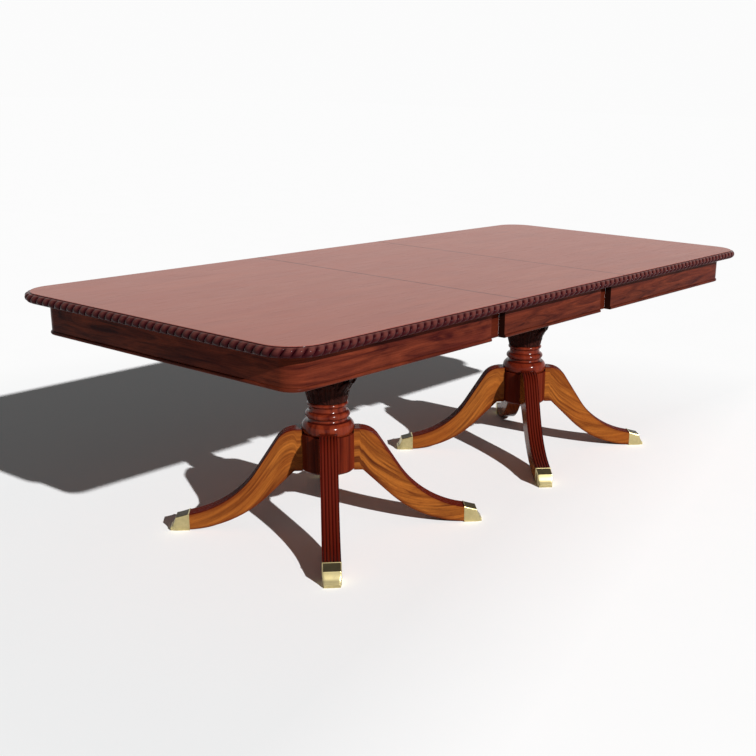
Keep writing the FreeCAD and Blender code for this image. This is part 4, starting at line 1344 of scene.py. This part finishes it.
@dataclass
class Leg:
    """One sabre leg with a reeded back.

    The outlines give reach, level and bend: the back's from the shoulder to the toe, and the
    underside's from the end of the level stretch below the drum to the toe. Shares run down the side.
    """

    finishes: Finishes
    spot: Spot
    number: int
    width: float = 0.054
    root: float = 0.0832
    crest: float = 0.321
    shoulder: float = 0.098
    back: Outline = ((0.1567, 0.2891, -0.07), (0.224, 0.1855), (0.4295, 0.0524, 0.3))
    knee: float = 0.186
    knee_reach: float = 0.106
    under: Outline = ((0.1905, 0.1044), (0.4427, 0.0025, 0.363))
    fine: float = 0.003
    rings: int = 72
    reeds: int = 5
    reed_pitch: float = 0.0096
    reed_high: float = 0.0035
    reed_steps: int = 8
    reed_round_share: float = 0.92
    reed_start: float = 0.006
    margin: float = 0.0008
    margin_drop_share: float = 0.35
    arris_drop: float = 0.0022
    side_shares: Corner = (0.0, 0.03, 0.12, 0.25, 0.4, 0.55, 0.7, 0.85, 0.97)
    under_ease: float = 0.0012
    under_points: int = 7
    reed_glaze: float = 0.93
    upper_glaze: float = 0.45
    upper_glaze_share: float = 0.1
    # Painted shade on the underside and the foot of each side.
    lower_glaze: float = 0.75
    lower_glaze_share: float = 0.06
    grain_step: float = 1.7
    grain_far_end: float = 0.9
    grain_slant: float = 0.37
    crease: float = 42.0

    def ring(self) -> np.ndarray:
        """The closed ring of the section: back with its reeds, one side, underside, other side.

        A reed is a round hump, one less the root of one less the square of the distance from its
        middle, brought to a full drop in the valleys.

        Returns:
            Rows of sideways place, share of the way down, drop of the reeds and drop of the arrises.
        """
        half = self.width / 2.0
        share = np.linspace(-1.0, 1.0, self.reed_steps + 1)
        hump = 1.0 - np.sqrt(1.0 - (self.reed_round_share * share) ** 2)
        hump = hump / hump[0]
        middle = (np.arange(self.reeds) - (self.reeds - 1) / 2.0) * self.reed_pitch
        across = (middle[:, None] + share[None, :-1] * self.reed_pitch / 2.0).ravel()
        across = np.concatenate([[self.margin - half], across,
                                 [self.reeds * self.reed_pitch / 2.0, half - self.margin]])
        drop = np.concatenate([[self.margin_drop_share], np.tile(hump[:-1], self.reeds),
                               [1.0, self.margin_drop_share]]) * self.reed_high
        down = np.array(self.side_shares)
        arris = np.where(down > 0.0, 0.0, self.arris_drop)
        foot = np.linspace(half - self.under_ease, self.under_ease - half, self.under_points)
        back = np.stack(np.broadcast_arrays(across, 0.0, drop, 0.0), axis=1)
        side = np.stack(np.broadcast_arrays(half, down, 0.0, arris), axis=1)
        under = np.stack(np.broadcast_arrays(foot, 1.0, 0.0, 0.0), axis=1)
        other = side[::-1] * np.array([-1.0, 1.0, 1.0, 1.0])
        return np.concatenate([back, side, under, other, back[:1]])

    def build(self) -> None:
        """Builds the leg.

        Each ring hangs between a point of the back's line and a point of the underside's line at the
        same share of their lengths. The reeds stand square to the back's line, and they rise out of
        the plain shoulder over a short way. The first ring lies on the drum's round face. Dark glazing
        covers the reeded back, with painted shade in the valleys between the reeds. The sides are
        darker near the back, and painted shade darkens the underside and the foot of the sides.
        """
        node = f"leg_{self.spot.end.tag}_{self.number}"
        back = draw([(self.root, self.crest), (self.shoulder, self.crest), *self.back], self.fine)
        under = draw([(self.root, self.knee), (self.knee_reach, self.knee), *self.under], self.fine)
        share = np.linspace(0.0, 1.0, self.rings)
        crest, belly = spread(back, share), spread(under, share)
        along = np.gradient(crest, axis=0)
        normal = np.stack([-along[:, 1], along[:, 0]], axis=1) / np.hypot(along[:, 0], along[:, 1])[:, None]
        y, down, drop, arris = self.ring().T
        start = smooth_step(crest[:, 0], self.shoulder, self.shoulder + self.reed_start)
        fall = drop[None, :] * start[:, None] + arris[None, :]
        plane = crest[:, None, :] + (belly - crest)[:, None, :] * down[None, :, None]
        plane = plane - normal[:, None, :] * fall[:, :, None]
        x, z = plane[..., 0], plane[..., 1]
        x[0] = np.sqrt(self.root ** 2 - y ** 2)
        points = np.stack([x, np.broadcast_to(y, x.shape), z], axis=-1)
        points = self.spot.placed(points, self.spot.yaw(node))
        points[:, -1] = points[:, 0]
        steps = np.linalg.norm(np.diff(points, axis=1), axis=-1)
        around = np.concatenate([np.zeros((len(points), 1)), np.cumsum(steps, axis=1)], axis=1)
        way = np.broadcast_to((share * run_length(back)[-1])[:, None], around.shape)
        shift = self.grain_step * self.number + (self.grain_far_end if self.spot.end is End.B else 0.0)
        places = np.stack([way + shift, around + self.grain_slant * shift], axis=-1)
        # Painted shade in the valleys between the reeds.
        valley = np.clip(drop / self.reed_high, 0.0, 1.0)
        reeds = self.reed_glaze + (1.0 - self.reed_glaze) * valley[None, :] * start[:, None]
        # Sides darker near the back; painted shade on the underside and the foot of the sides.
        side_darkening = (self.upper_glaze * band(down, 0.0, self.upper_glaze_share)
                 + self.lower_glaze * band(down, 1.0, self.lower_glaze_share))
        glaze = np.clip(np.where(down[None, :] == 0.0, reeds, side_darkening[None, :]), 0.0, 1.0)
        piece = make_piece(f"reeded_{node}", [shell(points, places, glaze, capped=True)], self.crease)
        seat(piece, self.finishes.leg, self.spot.end.body, Slot.LEG, node)


@dataclass
class ToeCap:
    """One brass toe cap.

    The outline gives reach, level and bend of the top line: up the back, over the rim, along the flat
    top to the brow, hollow down the nose and over a small lip to the floor.
    """

    finishes: Finishes
    spot: Spot
    number: int
    width: float = Leg.width
    outline: Outline = ((0.429, 0.0528), (0.429, 0.0541), (0.4322, 0.0532), (0.4326, 0.0522),
                        (0.4688, 0.0426, 0.4), (0.4706, 0.0408, -0.0024), (0.4836, 0.0128, 0.07),
                        (0.4862, 0.0102), (0.487, 0.0082, -0.0016), (0.487, 0.0012))
    fine: float = 0.0012
    rim: float = 0.0009
    rim_reach: float = 0.4324
    taper: float = 0.0035
    taper_span: Span = (0.466, 0.487)
    corner: float = 0.004
    corner_share: float = 0.4
    corner_points: int = 6
    middle_share: float = 0.8
    middle_points: int = 7
    # Painted dark reflection on the flat top and across the hollow of the nose.
    flat_glaze: float = 0.95
    flat_thick: float = 0.0006
    flat_span: Span = (0.4328, 0.4702)
    nose_glaze: float = 0.5
    nose_level: float = 0.0165
    nose_band: float = 0.005
    nose_reach: float = 0.4712
    crease: float = 30.0

    def build(self) -> None:
        """Builds the toe cap.

        Each ring stands on the floor under a point of the top line, as wide as the leg as far as the
        brow and a little narrower toward the nose, with rounded upper arrises. A dull dark painted
        reflection lies on the flat top and in a band across the hollow of the nose.
        """
        node = f"toe_cap_{self.spot.end.tag}_{self.number}"
        line = draw(self.outline, self.fine)
        reach, level = line[:, :1], line[:, 1:]
        half = self.width / 2.0 - self.taper * smooth_step(reach, *self.taper_span)
        half = half + self.rim * (reach < self.rim_reach)
        corner = np.minimum(self.corner, level * self.corner_share)
        turn = np.linspace(0.0, np.pi / 2.0, self.corner_points)
        bent = half - corner * (1.0 - np.cos(turn))
        raised = level - corner * (1.0 - np.sin(turn))
        middle = np.linspace(self.middle_share, -self.middle_share, self.middle_points) * (half - corner)
        top = np.broadcast_to(level, middle.shape)
        floor = np.zeros_like(level)
        y = np.concatenate([half, bent, middle, -bent[:, ::-1], -half, half], axis=1)
        z = np.concatenate([floor, raised, top, raised[:, ::-1], floor, floor], axis=1)
        x = np.broadcast_to(reach, y.shape)
        points = self.spot.placed(np.stack([x, y, z], axis=-1), self.spot.yaw(node))
        places = np.stack([np.broadcast_to(run_length(line)[:, None], y.shape), y], axis=-1)
        # Painted dark reflection on the flat top and across the nose's hollow.
        flat = (z > level - self.flat_thick) & (x > self.flat_span[0]) & (x < self.flat_span[1])
        nose = self.nose_glaze * band(z, self.nose_level, self.nose_band) * (x > self.nose_reach)
        skin = shell(points, places, np.maximum(self.flat_glaze * flat, nose), capped=True)
        piece = make_piece(f"brass_{node}", [skin], self.crease)
        seat(piece, self.finishes.brass, self.spot.end.body, Slot.BRASS, node)


@dataclass
class Pedestal:
    """One pedestal: drum, column, carved capital, four reeded legs and their brass toe caps."""

    finishes: Finishes
    end: End
    legs: int = 4

    def build(self) -> None:
        """Builds the whole pedestal."""
        spot = Spot(self.end)
        Turnery(self.finishes, spot).build()
        Capital(self.finishes, spot).build()
        for number in range(1, self.legs + 1):
            Leg(self.finishes, spot, number).build()
            ToeCap(self.finishes, spot, number).build()


@dataclass
class Studio:
    """Floor, light and camera."""

    camera_place: Colour = (-2.92562, -2.33964, 1.33895)
    heading: float = 35.574
    dip: float = 17.288
    roll: float = 1.738
    lens: float = 53.11
    sensor: float = 36.0
    shift_x: float = -0.1523
    shift_y: float = 0.075
    far_clip: float = 200.0
    sun_way: Colour = (0.39, 2.05, -1.0)
    sun_level: float = 6.4
    sun_soft: float = 0.8
    ambient: float = 0.1
    seen: float = 0.968
    floor_half: float = 60.0

    def floor(self) -> None:
        """The pale floor."""
        half = self.floor_half
        corners = [(-half, -half, 0.0), (half, -half, 0.0), (half, half, 0.0), (-half, half, 0.0)]
        mesh = bpy.data.meshes.new("floor")
        mesh.from_pydata(corners, [], [(0, 1, 2, 3)])
        mesh.materials.append(FloorFinish().make())
        floor = bpy.data.objects.new("floor", mesh)
        bpy.context.scene.collection.objects.link(floor)
        LOG.info("floor: %.0f m square", 2.0 * half)

    def lights(self) -> None:
        """A soft key light from the front and an even sky, seen almost white but weak as a light."""
        lamp = bpy.data.lights.new("key", "SUN")
        lamp.energy = self.sun_level
        lamp.angle = math.radians(self.sun_soft)
        key = bpy.data.objects.new("key", lamp)
        key.rotation_euler = Vector(self.sun_way).to_track_quat("-Z", "Y").to_euler()
        bpy.context.scene.collection.objects.link(key)
        graph = Graph(bpy.data.worlds.new("sky"))
        path = graph.add("ShaderNodeLightPath", {}).outputs
        plain = graph.sums("MAXIMUM", path["Is Camera Ray"], path["Is Glossy Ray"])
        plain = graph.sums("MAXIMUM", plain, path["Is Transmission Ray"])
        level = graph.fit(plain, FULL, (self.ambient, self.seen))
        sky = graph.add("ShaderNodeBackground", {"Color": (1.0, 1.0, 1.0, 1.0), "Strength": level})
        graph.add("ShaderNodeOutputWorld", {"Surface": sky.outputs[0]})
        bpy.context.scene.world = graph.owner
        bpy.context.scene.view_settings.view_transform = "Standard"
        LOG.info("light: sun %.2f, sky %.2f", self.sun_level, self.ambient)

    def camera(self) -> None:
        """The camera, turned by its heading, dip and roll."""
        heading, dip, roll = (math.radians(angle) for angle in (self.heading, self.dip, self.roll))
        flat = math.cos(dip)
        ahead = Vector((flat * math.cos(heading), flat * math.sin(heading), -math.sin(dip)))
        level = ahead.cross(Vector((0.0, 0.0, 1.0))).normalized()
        above = level.cross(ahead)
        right = level * math.cos(roll) + above * math.sin(roll)
        up = above * math.cos(roll) - level * math.sin(roll)
        data = bpy.data.cameras.new("camera")
        data.sensor_width = self.sensor
        data.lens = self.lens
        data.shift_x = self.shift_x
        data.shift_y = self.shift_y
        data.clip_end = self.far_clip
        camera = bpy.data.objects.new("camera", data)
        turn = Matrix((right, up, -ahead)).transposed().to_4x4()
        camera.matrix_world = Matrix.Translation(Vector(self.camera_place)) @ turn
        bpy.context.scene.collection.objects.link(camera)
        bpy.context.scene.camera = camera
        LOG.info("camera: lens %.1f mm", self.lens)

    def build(self) -> None:
        """Sets up the studio."""
        self.floor()
        self.lights()
        self.camera()


def main() -> None:
    """Builds the table, sub-assembly by sub-assembly, then the studio."""
    logging.basicConfig(level=logging.INFO, format="%(name)s: %(message)s")
    finishes = Finishes()
    Top(finishes).build()
    CarvedEdge(finishes).build()
    ApronFrame(finishes).build()
    Slides(finishes).build()
    for end in End:
        Pedestal(finishes, end).build()
    Studio().build()


if __name__ == "__main__":
    main()
